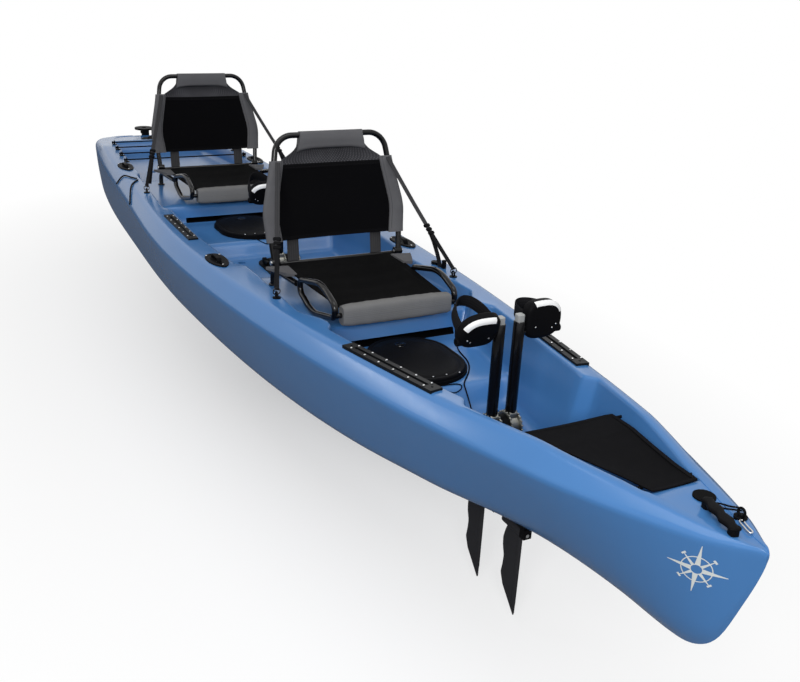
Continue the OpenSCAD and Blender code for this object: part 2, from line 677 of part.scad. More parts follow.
// Rudder: a bracket on the transom, a head that steers and a blade that kicks up
head_z = 178;
head_h = 106;
gudgeon_t = 10;
gudgeon_w = 34;
rudder_pin_d = 10;
head_d = 30;
cheek_t = 7;
blade_pin_d = 8;
blade_pin_back = 46;
blade_pin_z = 196;
head_gap = 0.4;
steer_x = -half_l - rudder_back;
module rudder_bracket() {
  color(BLACK) difference() {
    union() {
      translate([-half_l - 8, -gudgeon_w / 2, head_z - gudgeon_t - 4])
        cube([8, gudgeon_w, head_h + 2 * gudgeon_t + head_gap + 4]);
      for (z = [head_z - gudgeon_t - head_gap, head_z + head_h + head_gap]) translate([0, 0, z]) {
        translate([steer_x, -gudgeon_w / 2, 0]) cube([rudder_back - 1, gudgeon_w, gudgeon_t]);
        translate([steer_x, 0, 0]) cylinder(h = gudgeon_t, d = gudgeon_w);
      }
    }
    translate([steer_x, 0, 0]) cylinder(h = 600, d = rudder_pin_d);
  }
}
module rudder_pins() {
  color(STEEL) {
    translate([steer_x, 0, head_z - gudgeon_t - head_gap - 6])
      cylinder(h = head_h + 2 * gudgeon_t + 2 * head_gap + 6, d = rudder_pin_d);
  }
}
drum_t = 9;
module rudder_head() {
  y = blade_t / 2 + head_gap;
  drum_z = head_z + head_h + gudgeon_t + 2 * head_gap;
  color(BLACK) {
    difference() {
      union() {
        translate([steer_x, 0, head_z]) cylinder(h = head_h, d = head_d);
        for (s = [-1, 1]) translate([steer_x - blade_pin_back, s * (y + cheek_t / 2), blade_pin_z]) {
          rotate([90, 0, 0]) translate([0, 0, -cheek_t / 2]) cylinder(h = cheek_t, d = 34);
          translate([0, -cheek_t / 2, -17]) cube([blade_pin_back, cheek_t, 34]);
        }
        translate([steer_x - 13, -y - cheek_t, head_z]) cube([13, 2 * (y + cheek_t), head_h]);
      }
      translate([steer_x, 0, 0]) cylinder(h = 600, d = rudder_pin_d + 2 * shaft_gap);
      translate([steer_x - blade_pin_back, 40, blade_pin_z]) rotate([90, 0, 0])
        cylinder(h = 80, d = blade_pin_d);
      translate([steer_x - blade_pin_back - 30, -y, blade_pin_z - 30])
        cube([30 + blade_pin_back - 14, 2 * y, 60]);
    }
    translate([steer_x - blade_pin_back, y + cheek_t, blade_pin_z]) rotate([90, 0, 0])
      cylinder(h = 2 * (y + cheek_t), d = blade_pin_d);
    difference() {
      union() {
        translate([steer_x, 0, drum_z]) cylinder(h = drum_t, d = rudder_drum_d);
        translate([steer_x - head_d / 2 - 24, -12, head_z + head_h - 6])
          cube([10, 24, drum_z + drum_t - head_z - head_h + 6]);
        translate([steer_x - head_d / 2 - 24, -12, head_z + head_h - 16]) cube([26, 24, 12]);
      }
      translate([steer_x, 0, drum_z - 1]) cylinder(h = drum_t + 2, d = 26);
      translate([steer_x, 0, 0]) cylinder(h = head_z + head_h + gudgeon_t + 2 * head_gap, d = gudgeon_w + 2);
    }
  }
}
module rudder_blade() {
  x = steer_x - blade_pin_back;
  color(BLACK) translate([x, blade_t / 2, blade_pin_z]) rotate([90, 0, 0]) linear_extrude(blade_t) difference() {
    union() {
      circle(d = 30);
      polygon([[12, 9], [16, -20], [6, -0.7 * blade_drop], [-18, -blade_drop], [-0.6 * blade_chord, -0.97 * blade_drop],
        [-blade_chord, -0.55 * blade_drop], [-0.82 * blade_chord, -0.24 * blade_drop], [-14, -6]]);
    }
    circle(d = blade_pin_d + 2 * shaft_gap);
  }
}

// Steering lever on the port rim, turning on its own stud
lever_off = 84;
lever_stud_d = 12;
lever_hub_d = 26;
lever_l = 58;
lever_t = 8;
module at_lever(extra = 0) {
  x = front_seat_x + lever_off;
  on_rim(x, 1, rim_mid(x)) translate([0, 0, extra]) children();
}
module steering_lever() {
  color(BLACK) at_lever(rim_sink + 1) {
    cylinder(h = lever_t, d = lever_hub_d);
    translate([0, 0, -9]) cylinder(h = 10, d = lever_stud_d);
    translate([0, -5, 0]) cube([lever_l, 10, lever_t]);
    translate([lever_l, 0, 0]) cylinder(h = 26, d = 15);
  }
}
module lever_pocket() {
  at_lever(rim_sink - 8.5) cylinder(h = 40, d = lever_stud_d + 2 * shaft_gap);
}

// Seats
loop_pts = [[100, 330], [320, 384], [478, 330], [250, 273]];
loop_bends = [24, 150, 24, 150];
leg_x = -28;
leg_half = 206;
leg_in_z = 325;
bar_x = -7;
bar_z = 343;
front_bar_x = 418;
front_bar_z = 321;
lug_t = 6;
hinge_gap = 0.5;
eye_t = 19;
eye_low = 9;
bar_half = back_half_w - eye_t / 2 - hinge_gap - lug_t / 2;
eye_d = 25;
back_x = 4;
foot_t = 4;
function seat_pt(s, x, y, z) = [s + x, y, z];
module seat_frame(s) {
  color(BLACK) difference() {
    union() {
      for (side = [-1, 1]) {
        tube_loop([for (p = loop_pts) seat_pt(s, p[0], side * loop_half, p[1])], loop_bends, seat_tube_d, [0, 1, 0]);
        tube([seat_pt(s, leg_x, side * leg_half, seat_shelf_z + foot_t / 2),
          seat_pt(s, leg_x, side * leg_half, leg_in_z), seat_pt(s, 130, side * loop_half, leg_in_z - 2)],
          [0, 30, 0], seat_tube_d, [0, 1, 0]);
        translate(seat_pt(s, leg_x, side * leg_half, seat_shelf_z)) cylinder(h = foot_t + 2, d = seat_tube_d + 10);
        lug_y = back_half_w - eye_t / 2 - hinge_gap;
        translate([s + back_x, side > 0 ? lug_y : -lug_y + lug_t, hinge_z]) rotate([90, 0, 0])
          linear_extrude(lug_t) union() {
            circle(d = eye_d);
            polygon([[-38, -30], [4, -30], [12, 2], [-10, 9]]);
          }
      }
      rod(seat_pt(s, front_bar_x, -loop_half, front_bar_z), seat_pt(s, front_bar_x, loop_half, front_bar_z),
        seat_tube_d - 3);
      rod(seat_pt(s, bar_x, -bar_half, bar_z), seat_pt(s, bar_x, bar_half, bar_z), seat_tube_d - 5);
    }
    translate([s + back_x, 400, hinge_z]) rotate([90, 0, 0]) cylinder(h = 800, d = hinge_pin_d + 0.04);
  }
}
pan_t = 5;
pan_front = 392;
pan_back = -16;
pan_dip = 16;
pan_back_half = 196;
pin_head_t = 3;
pan_front_half = 166;
pan_rise = 347;
pan_fall = 9;
module seat_pan(s) {
  rows = 8;
  cols = 8;
  rings = [for (i = [0 : rows])
    let (f = i / rows, x = mix(pan_back, pan_front, f), y = mix(pan_back_half, pan_front_half, f))
    let (dip = pan_dip * (0.1 + sin(180 * f)), z = mix(pan_rise, pan_rise - pan_fall, f))
    concat(
      [for (j = [0 : cols]) let (g = 2 * j / cols - 1) [s + x, g * y, z - pan_t - dip * (1 - g^2)]],
      [for (j = [cols : -1 : 0]) let (g = 2 * j / cols - 1) [s + x, g * y, z - dip * (1 - g^2)]])];
  color(CHARCOAL) loft(rings);
}
roll_half = 168;
roll_w = 42;
roll_h = 62;
corner_x = 24;
corner_l = 84;
function squared(v) = sign(v) * abs(v)^0.6;
module seat_trim(s) {
  sides = 16;
  color(GREY) {
    loft([for (i = [0 : 8]) let (g = i / 4 - 1, k = 1 - 0.08 * g^2)
      [for (a = [sides - 1 : -1 : 0])
        [s + front_bar_x + roll_w / 2 * k * squared(cos(360 * a / sides)), g * roll_half,
         front_bar_z - 1 + roll_h / 2 * k * squared(sin(360 * a / sides))]]]);
    for (side = [-1, 1])
      loft([for (f = [0 : 0.25 : 1])
        let (x = s + corner_x + corner_l * f, y0 = mix(176, 180, f), y1 = mix(248, 212, f),
             z = pan_rise + 2, p = [[y0, z - 8], [y1, z - 11], [y1, z - 3], [y0, z]])
        [for (i = [0 : 3]) let (q = p[side > 0 ? i : 3 - i]) [x, side * q[0], q[1]]]]);
  }
}
module seat_hinge_pins() {
  inner = back_half_w - eye_t / 2 - hinge_gap - lug_t - 2;
  outer = back_half_w + eye_t / 2 + hinge_gap;
  color(STEEL) for (s = SEATS, side = [-1, 1])
    translate([s + back_x, side > 0 ? outer + pin_head_t : -inner, hinge_z]) rotate([90, 0, 0]) {
      cylinder(h = outer + pin_head_t - inner, d = hinge_pin_d);
      translate([0, 0, side > 0 ? 0 : outer - inner]) cylinder(h = pin_head_t, d = hinge_pin_d + 6);
    }
}
// The back is drawn flat, width along Y and height along Z, then leaned about its hinge
module at_back(s) {
  translate([s + back_x, 0, hinge_z]) rotate([0, -back_lean, 0]) children();
}
sleeve_low = 64;
sleeve_high = 304;
rib_h = 150;
waist_half = 215;
rib_half = 224;
shoulder_half = 190;
top_half = 178;
top_bend = 58;
module back_frame(s) {
  color(BLACK) at_back(s) difference() {
    union() {
      tube([[0, -back_half_w, eye_low], [0, -rib_half, rib_h], [0, -shoulder_half, sleeve_high],
        [0, -top_half, back_h], [0, top_half, back_h], [0, shoulder_half, sleeve_high],
        [0, rib_half, rib_h], [0, back_half_w, eye_low]], [0, 160, 200, top_bend, top_bend, 200, 160, 0], seat_tube_d,
        [1, 0, 0]);
      for (side = [-1, 1]) translate([0, side * back_half_w + eye_t / 2, 0]) rotate([90, 0, 0])
        cylinder(h = eye_t, d = eye_d);
    }
    translate([0, 400, 0]) rotate([90, 0, 0]) cylinder(h = 800, d = hinge_pin_d + 2 * shaft_gap);
  }
}
// Half width of the fabric at a height up the back
BACK_EDGE = [[64, 198], [150, 207], [220, 196], [304, 172], [332, 126], [356, 104]];
SLEEVE_MID = [[sleeve_low, waist_half], [rib_h, rib_half], [sleeve_high, shoulder_half]];
sleeve_in = 6;
panel_low = 66;
panel_high = 356;
panel_bow = 22;
panel_t = 5;
module back_panel(s) {
  rows = 10;
  cols = 8;
  rings = [for (i = [0 : rows])
    let (h = mix(panel_low, panel_high, i / rows), y = lookup(h, BACK_EDGE))
    concat(
      [for (j = [0 : cols]) let (g = 2 * j / cols - 1) [-panel_bow * (1 - g^2) + panel_t / 2, g * y, h]],
      [for (j = [cols : -1 : 0]) let (g = 2 * j / cols - 1) [-panel_bow * (1 - g^2) - panel_t / 2, g * y, h]])];
  color(CHARCOAL) at_back(s) loft(rings);
}
sleeve_t = 30;
sleeve_w = 46;
cover_half = 104;
cover_h = 46;
cover_t = 28;
module back_sleeves(s) {
  sides = 10;
  color(GREY) at_back(s) {
    for (side = [-1, 1])
      loft([for (i = [0 : 6])
        let (h = mix(sleeve_low, sleeve_high, i / 6), y = side * (lookup(h, SLEEVE_MID) - sleeve_in),
             w = sleeve_w * (1 - 0.16 * i / 6))
        [for (a = [0 : sides - 1]) [sleeve_t / 2 * cos(360 * a / sides), y + w / 2 * sin(360 * a / sides), h]]]);
    loft([for (i = [0 : 4])
      let (y = mix(-cover_half, cover_half, i / 4))
      [for (a = [sides - 1 : -1 : 0])
        [cover_t / 2 * cos(360 * a / sides), y, back_h - cover_h / 2 + 15 + cover_h / 2 * sin(360 * a / sides)]]]);
  }
}
// Webbing: back straps from the shoulders to the rim, and two short ones under the back
strap_w = 20;
strap_t = 2;
lower_strap_w = 38;
lower_strap_y = 142;
strap_lift = 4;
function back_point(s, x, y, h) =
  [s + back_x + x * cos(back_lean) - h * sin(back_lean), y, hinge_z + x * sin(back_lean) + h * cos(back_lean)];
strap_gap = 0.3;
module seat_straps(s) {
  anchor_x = s + anchor_off;
  color(CHARCOAL) for (side = [-1, 1]) {
    top = back_point(s, sleeve_t / 2 + strap_gap + strap_t / 2, side * (shoulder_half - sleeve_in), sleeve_high - 3);
    end = [anchor_x, side * anchor_y(s), deck_z(anchor_x) - rim_sink + eye_h + eye_ring_r + eye_wire_d / 2 + strap_lift];
    buckle = mix(top, end, 0.62);
    loft(strap_rings([top, mix(top, end, 0.3), buckle, mix(top, end, 0.84), end], strap_w, strap_t, [0, 1, 0]));
    loft(strap_rings([mix(top, end, 0.57), mix(top, end, 0.67)], strap_w + 9, 9, [0, 1, 0]));
    low = back_point(s, -panel_bow * (1 - (lower_strap_y / 198)^2) - panel_t / 2 - strap_t / 2 - 3.2,
      side * lower_strap_y, panel_low + 12);
    pan = [s + pan_back - strap_t / 2 - strap_gap, side * lower_strap_y, pan_rise - 4];
    loft(strap_rings([low, mix(low, pan, 0.5), pan], lower_strap_w, strap_t, [0, 1, 0]));
  }
}
module front_seat_frame() seat_frame(front_seat_x);
module front_seat_pan() seat_pan(front_seat_x);
module front_seat_trim() seat_trim(front_seat_x);
module front_back_frame() back_frame(front_seat_x);
module front_back_panel() back_panel(front_seat_x);
module front_back_sleeves() back_sleeves(front_seat_x);
module front_seat_straps() seat_straps(front_seat_x);
module rear_seat_frame() seat_frame(rear_seat_x);
module rear_seat_pan() seat_pan(rear_seat_x);
module rear_seat_trim() seat_trim(rear_seat_x);
module rear_back_frame() back_frame(rear_seat_x);
module rear_back_panel() back_panel(rear_seat_x);
module rear_back_sleeves() back_sleeves(rear_seat_x);
module rear_seat_straps() seat_straps(rear_seat_x);

// Pedal drives, drawn about the drive centre at the origin's height, then set in the well
module at_drive(s) {
  translate([s + drive_off, 0, s == front_seat_x ? front_drive_lift : 0]) children();
}
spine_half_t = 11;
spine_l = 300;
spine_top = 168;
spine_low = -2;
tower_w = 96;
boss_d = 44;
flange_t = 5;
flange_w = 118;
flange_l = 372;
arm_shaft_d = 14;
fin_shaft_d = 9;
hub_d = 26;
hub_l = 74;
hub_clear = 3;
hub_gap = 0.3;
fin_off = 14;
fin_lug_t = 18;
fin_lugs = [for (k = [-1, 0, 1]) fin_off + k * (fin_gap / 2 + hub_l / 2 + hub_gap + fin_lug_t / 2)];
drum_gap = 0.5;
drum_w = 30;
drum_d = 76;
tooth_d = 6;
tooth_count = 22;
cam_y = 34;
cam_axis_z = footwell_z + 18;
cam_pin_d = 10;
cam_x = -122;
module drive_spine(s) {
  lift = s == front_seat_x ? front_drive_lift : 0;
  floor_at = footwell_z - lift;
  color(BLACK) at_drive(s) difference() {
    union() {
      translate([0, spine_half_t, 0]) rotate([90, 0, 0]) linear_extrude(2 * spine_half_t) union() {
        translate([-spine_l / 2, spine_low]) square([spine_l, spine_top - spine_low]);
        polygon([[-spine_l / 2 + 20, spine_top - 1], [spine_l / 2 - 20, spine_top - 1],
          [tower_w / 2, arm_axis_z], [-tower_w / 2, arm_axis_z]]);
        translate([0, arm_axis_z]) circle(d = tower_w * 0.62);
        for (x = fin_lugs) translate([x - fin_lug_t / 2, -fin_axis_drop - fin_shaft_d])
          square([fin_lug_t, fin_axis_drop + fin_shaft_d + spine_low + 1]);
      }
      translate([0, 0, floor_at]) linear_extrude(flange_t) oblong(flange_l, flange_w);
      translate([cam_x, cam_y + 14, cam_axis_z - lift]) rotate([90, 0, 0]) cylinder(h = 2 * cam_y + 28, d = cam_pin_d);
      translate([cam_x - 11, -cam_y + 8, floor_at]) cube([22, 2 * cam_y - 16, cam_axis_z - footwell_z + 4]);
    }
    translate([0, 100, arm_axis_z]) rotate([90, 0, 0]) cylinder(h = 200, d = arm_shaft_d);
    translate([-spine_l, 0, -fin_axis_drop]) rotate([0, 90, 0]) cylinder(h = 2 * spine_l, d = fin_shaft_d);
    for (x = [-0.5, 0.5]) translate([fin_off + x * fin_gap - hub_l / 2 - hub_gap, 0, -fin_axis_drop]) rotate([0, 90, 0])
      cylinder(h = hub_l + 2 * hub_gap, d = hub_d + 2 * hub_clear);
  }
}
module drive_shafts(s) {
  reach = spine_half_t + drum_gap + drum_w + 3;
  color(STEEL) at_drive(s) {
    translate([0, reach, arm_axis_z]) rotate([90, 0, 0]) cylinder(h = 2 * reach, d = arm_shaft_d);
    translate([fin_lugs[0] - fin_lug_t / 2, 0, -fin_axis_drop]) rotate([0, 90, 0])
      cylinder(h = fin_lugs[2] - fin_lugs[0] + fin_lug_t, d = fin_shaft_d);
  }
}
pedal_pin_d = 10;
cap_l = 20;
module pedal_arm(s, side) {
  inner = spine_half_t + drum_gap;
  mid = inner + drum_w / 2;
  color(BLACK) at_drive(s) difference() {
    union() {
      translate([0, side > 0 ? inner + drum_w : -inner, arm_axis_z]) rotate([90, 0, 0])
        linear_extrude(drum_w) union() {
          circle(d = drum_d - tooth_d);
          for (i = [0 : tooth_count - 1]) rotate(i * 360 / tooth_count) translate([drum_d / 2 - tooth_d, 0])
            polygon([[-1, -3.6], [tooth_d, -1.6], [tooth_d, 1.6], [-1, 3.6]]);
        }
      translate([0, side * mid, arm_axis_z + 20]) cylinder(h = arm_l - 20 - cap_l, d = arm_d);
      translate([0, side * mid, arm_axis_z + arm_l - cap_l]) cylinder(h = cap_l + 12, d = arm_d - 3);
      translate([0, side * mid, arm_axis_z + arm_l - cap_l - 14]) rotate([0, 0, side * 90]) rotate([0, 90, 0])
        cylinder(h = arm_d / 2 + 8 + pedal_w * 0.7, d = pedal_pin_d);
    }
    translate([0, 100, arm_axis_z]) rotate([90, 0, 0]) cylinder(h = 200, d = arm_shaft_d + 2 * shaft_gap);
  }
}
// Pedal: a rounded foot plate on a sleeve, with a strap over the foot on its aft side
pedal_h = 92;
pedal_up = 26;
pedal_r = 42;
plate_t = 9;
sleeve_d = 20;
strap_reach = 76;
pedal_lean = [-28, 0];
module pedal(s, side) {
  mid = spine_half_t + drum_gap + drum_w / 2;
  in_y = mid + arm_d / 2 + 2;
  pin_z = arm_axis_z + arm_l - cap_l - 14;
  lean = pedal_lean[side > 0 ? 1 : 0];
  color(CHARCOAL) at_drive(s) translate([0, 0, pin_z]) rotate([0, -lean, 0]) difference() {
    union() {
      translate([0, side > 0 ? in_y : -in_y, 0]) rotate([side > 0 ? -90 : 90, 0, 0]) cylinder(h = pedal_w - 6, d = sleeve_d);
      translate([-sleeve_d / 2 - plate_t + 3, side * (in_y + pedal_w / 2), pedal_up]) rotate([0, 90, 0])
        linear_extrude(plate_t) round_rect(pedal_h, pedal_w, pedal_r);
      for (k = [-1, 1]) translate([-sleeve_d / 2, side * (in_y + pedal_w / 2) + k * pedal_w * 0.27 - 3, pedal_up - pedal_h * 0.34])
        cube([9, 6, pedal_h * 0.68]);
    }
    translate([0, 200, 0]) rotate([90, 0, 0]) cylinder(h = 400, d = pedal_pin_d + 2 * shaft_gap);
  }
  color(BLACK) at_drive(s) translate([0, 0, pin_z]) rotate([0, -lean, 0])
    loft(strap_rings([for (a = [0 : 20 : 180])
      [-sleeve_d / 2 - plate_t + 3 - 0.3 - strap_reach * sin(a), side * (in_y + pedal_w / 2) + cos(a) * (pedal_w / 2 - 6), pedal_up + 4]],
      34, 3, [0, 0, 1]));
}
// Fin: a flexible blade on a hub, hung down at rest; the leading edge is straight
fin_t = 7;
fin_top = 10;
module fin(s, x) {
  c = fin_chord;
  color(BLACK) at_drive(s) translate([x, 0, -fin_axis_drop]) difference() {
    union() {
      rotate([0, 90, 0]) translate([0, 0, -hub_l / 2]) cylinder(h = hub_l, d = hub_d);
      translate([0, fin_t / 2, 0]) rotate([90, 0, 0]) linear_extrude(fin_t)
        polygon([[0.42 * c, -fin_top], [0.46 * c, -fin_l * 0.8], [0.44 * c, -fin_l], [0.36 * c, -fin_l * 0.995],
          [-0.3 * c, -fin_l * 0.78], [-0.46 * c, -fin_l * 0.66], [-0.38 * c, -fin_l * 0.44],
          [-0.5 * c, -fin_l * 0.24], [-0.3 * c, -fin_top]]);
      translate([0.37 * c, 0, -fin_l * 0.9]) cylinder(h = fin_l * 0.9, d = fin_t + 3);
    }
    translate([-hub_l, 0, 0]) rotate([0, 90, 0]) cylinder(h = 2 * hub_l, d = fin_shaft_d + 2 * shaft_gap);
  }
}
module lock_cams(s) {
  lift = s == front_seat_x ? front_drive_lift : 0;
  color(BLACK) at_drive(s) for (side = [-1, 1])
    translate([cam_x, side > 0 ? cam_y + 13 : -cam_y - 1, cam_axis_z - lift]) rotate([90, 0, 0])
      linear_extrude(12) difference() {
        union() {
          circle(d = 24);
          translate([0, -5]) square([40, 10]);
        }
        circle(d = cam_pin_d + 2 * shaft_gap);
      }
}
module front_drive_spine() drive_spine(front_seat_x);
module front_drive_shafts() drive_shafts(front_seat_x);
module front_stbd_arm() pedal_arm(front_seat_x, -1);
module front_port_arm() pedal_arm(front_seat_x, 1);
module front_stbd_pedal() pedal(front_seat_x, -1);
module front_port_pedal() pedal(front_seat_x, 1);
module front_fore_fin() fin(front_seat_x, fin_off + fin_gap / 2);
module front_aft_fin() fin(front_seat_x, fin_off - fin_gap / 2);
module front_lock_cams() lock_cams(front_seat_x);
module rear_drive_spine() drive_spine(rear_seat_x);
module rear_drive_shafts() drive_shafts(rear_seat_x);
module rear_stbd_arm() pedal_arm(rear_seat_x, -1);
module rear_port_arm() pedal_arm(rear_seat_x, 1);
module rear_stbd_pedal() pedal(rear_seat_x, -1);
module rear_port_pedal() pedal(rear_seat_x, 1);
module rear_fore_fin() fin(rear_seat_x, fin_off + fin_gap / 2);
module rear_aft_fin() fin(rear_seat_x, fin_off - fin_gap / 2);
module rear_lock_cams() lock_cams(rear_seat_x);

hull();
bow_mesh_cover();
mesh_hooks();
bow_handle();
bow_badge();
deck_padeyes();
front_tracks();
rear_tracks();
track_screws();
side_handles();
stern_handle();
cargo_bungees();
paddle_bungee();
drain_plug();
front_hatch_rim();
rear_hatch_rim();
front_hatch_bucket();
rear_hatch_bucket();
front_hatch_lid();
rear_hatch_lid();
rudder_bracket();
rudder_pins();
rudder_head();
rudder_blade();
steering_lever();
seat_hinge_pins();
front_seat_frame();
front_seat_pan();
front_seat_trim();
front_back_frame();
front_back_panel();
front_back_sleeves();
front_seat_straps();
rear_seat_frame();
rear_seat_pan();
rear_seat_trim();
rear_back_frame();
rear_back_panel();
rear_back_sleeves();
rear_seat_straps();
front_drive_spine();
front_drive_shafts();
front_stbd_arm();
front_port_arm();
front_stbd_pedal();
front_port_pedal();
front_fore_fin();
front_aft_fin();
front_lock_cams();
rear_drive_spine();
rear_drive_shafts();
rear_stbd_arm();
rear_port_arm();
rear_stbd_pedal();
rear_port_pedal();
rear_fore_fin();
rear_aft_fin();
rear_lock_cams();
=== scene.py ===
"""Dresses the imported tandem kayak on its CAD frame: hull skin, cloth seats, cords, drives and finishes."""

import logging
import math
from dataclasses import dataclass, field
from enum import Enum
from typing import Any, Callable, Dict, List, Optional, Sequence, Tuple

import bmesh
import bpy
from mathutils import Matrix, Vector
from mathutils.bvhtree import BVHTree

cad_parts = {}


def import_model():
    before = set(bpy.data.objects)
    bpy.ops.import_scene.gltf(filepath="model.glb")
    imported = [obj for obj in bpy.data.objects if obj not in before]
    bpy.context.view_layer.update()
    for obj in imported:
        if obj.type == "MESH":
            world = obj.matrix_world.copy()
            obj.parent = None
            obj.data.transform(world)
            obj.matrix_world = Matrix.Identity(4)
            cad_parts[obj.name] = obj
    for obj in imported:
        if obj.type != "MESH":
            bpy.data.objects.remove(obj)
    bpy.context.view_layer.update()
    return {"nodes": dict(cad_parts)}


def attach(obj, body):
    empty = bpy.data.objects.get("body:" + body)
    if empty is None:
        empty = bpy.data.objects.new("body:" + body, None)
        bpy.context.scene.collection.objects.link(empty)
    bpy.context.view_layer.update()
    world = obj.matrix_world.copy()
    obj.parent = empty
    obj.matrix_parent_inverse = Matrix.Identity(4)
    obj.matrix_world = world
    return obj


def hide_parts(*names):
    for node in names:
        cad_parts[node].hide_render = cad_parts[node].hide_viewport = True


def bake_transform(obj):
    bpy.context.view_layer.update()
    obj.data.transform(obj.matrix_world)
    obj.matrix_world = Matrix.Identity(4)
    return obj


Pair = Tuple[float, float]
Triple = Tuple[float, float, float]
Spot = Tuple[Vector, Vector, Vector]
Socket = bpy.types.NodeSocket

LOG = logging.getLogger("tandem_kayak")
MM = 0.001
AHEAD = Vector((1, 0, 0)).freeze()
PORT = Vector((0, 1, 0)).freeze()
UP = Vector((0, 0, 1)).freeze()
SIDES = ((-1, "stbd"), (1, "port"))


def mix(a: Any, b: Any, s: float) -> Any:
    """Returns the value or vector a share s of the way from a to b."""
    return a + (b - a) * s


def clamp(v: float, lo: float, hi: float) -> float:
    """Returns v held between lo and hi."""
    return max(lo, min(hi, v))


def along_runs(x: float, marks: Sequence[Pair]) -> float:
    """Returns the value at x on straight runs between marks, held at both ends."""
    if x <= marks[0][0]:
        return marks[0][1]
    for (xa, va), (xb, vb) in zip(marks, marks[1:]):
        if x <= xb:
            return mix(va, vb, (x - xa) / (xb - xa))
    return marks[-1][1]


def eased(rule: Callable[[float], float], x: float, blend: float) -> float:
    """Returns a rule's mean over a short length about x, which rounds off its steps."""
    shares = (-1, -0.5, 0, 0.5, 1)
    return sum(rule(x + k * blend) for k in shares) / len(shares)


def around(count: int) -> List[float]:
    """Returns the angles of equal steps round a circle."""
    return [2 * math.pi * k / count for k in range(count)]


def polar(r: float, a: float) -> Vector:
    """Returns the flat point at a radius and an angle."""
    return Vector((r * math.cos(a), r * math.sin(a), 0))


def squared(a: float, across: float, up: float) -> Pair:
    """Returns a point of the unit circle, drawn towards a square by a power for each direction."""
    c, d = math.cos(a), math.sin(a)
    return math.copysign(abs(c) ** across, c), math.copysign(abs(d) ** up, d)


def spin(angle_deg: float, axis: str) -> Matrix:
    """Returns a turn about an axis, in degrees."""
    return Matrix.Rotation(math.radians(angle_deg), 4, axis)


def tint(red: int, green: int, blue: int) -> Triple:
    """Returns a screen colour, 0 to 255 a channel, as a linear one."""

    def linear(v: float) -> float:
        """Returns one channel in linear light."""
        return v / 12.92 if v <= 0.04045 else ((v + 0.055) / 1.055) ** 2.4

    return linear(red / 255), linear(green / 255), linear(blue / 255)


def add_node(tree: bpy.types.NodeTree, kind: str, inputs: Dict[Any, Any], **settings: Any) -> bpy.types.Node:
    """Adds a node to a tree.

    Args:
        tree: the tree.
        kind: the node's type.
        inputs: a socket to link or a value to set, by the input's name or number.
        settings: the node's own settings.

    Returns:
        The node.
    """
    node = tree.nodes.new(kind)
    for name, value in settings.items():
        setattr(node, name, value)
    for key, value in inputs.items():
        if isinstance(value, Socket):
            tree.links.new(value, node.inputs[key])
        else:
            node.inputs[key].default_value = value
    return node


def applied_mesh(made: bpy.types.Object) -> bpy.types.Mesh:
    """Returns the plain mesh that an object's modifiers leave."""
    return bpy.data.meshes.new_from_object(made.evaluated_get(bpy.context.evaluated_depsgraph_get()))


class Surface(Enum):
    """How a finish breaks up the light."""

    MOULDED = "moulded"
    SHELL = "shell"
    WOVEN = "woven"
    KNIT = "knit"
    RIBBED = "ribbed"
    BRAIDED = "braided"
    METAL = "metal"
    COATED = "coated"
    PRINT = "print"


@dataclass(frozen=True)
class Finish:
    """A procedural finish: its colour, gloss and the fine relief of its surface, in millimetres."""

    name: str
    colour: Triple
    roughness: float
    surface: Surface
    pitch: float = 2.0
    relief: float = 0.3
    vary: float = 0.08
    shine: float = 0.5

    def material(self) -> bpy.types.Material:
        """Returns the finish's material, made on first use."""
        return bpy.data.materials.get(self.name) or FinishTree(self).build()


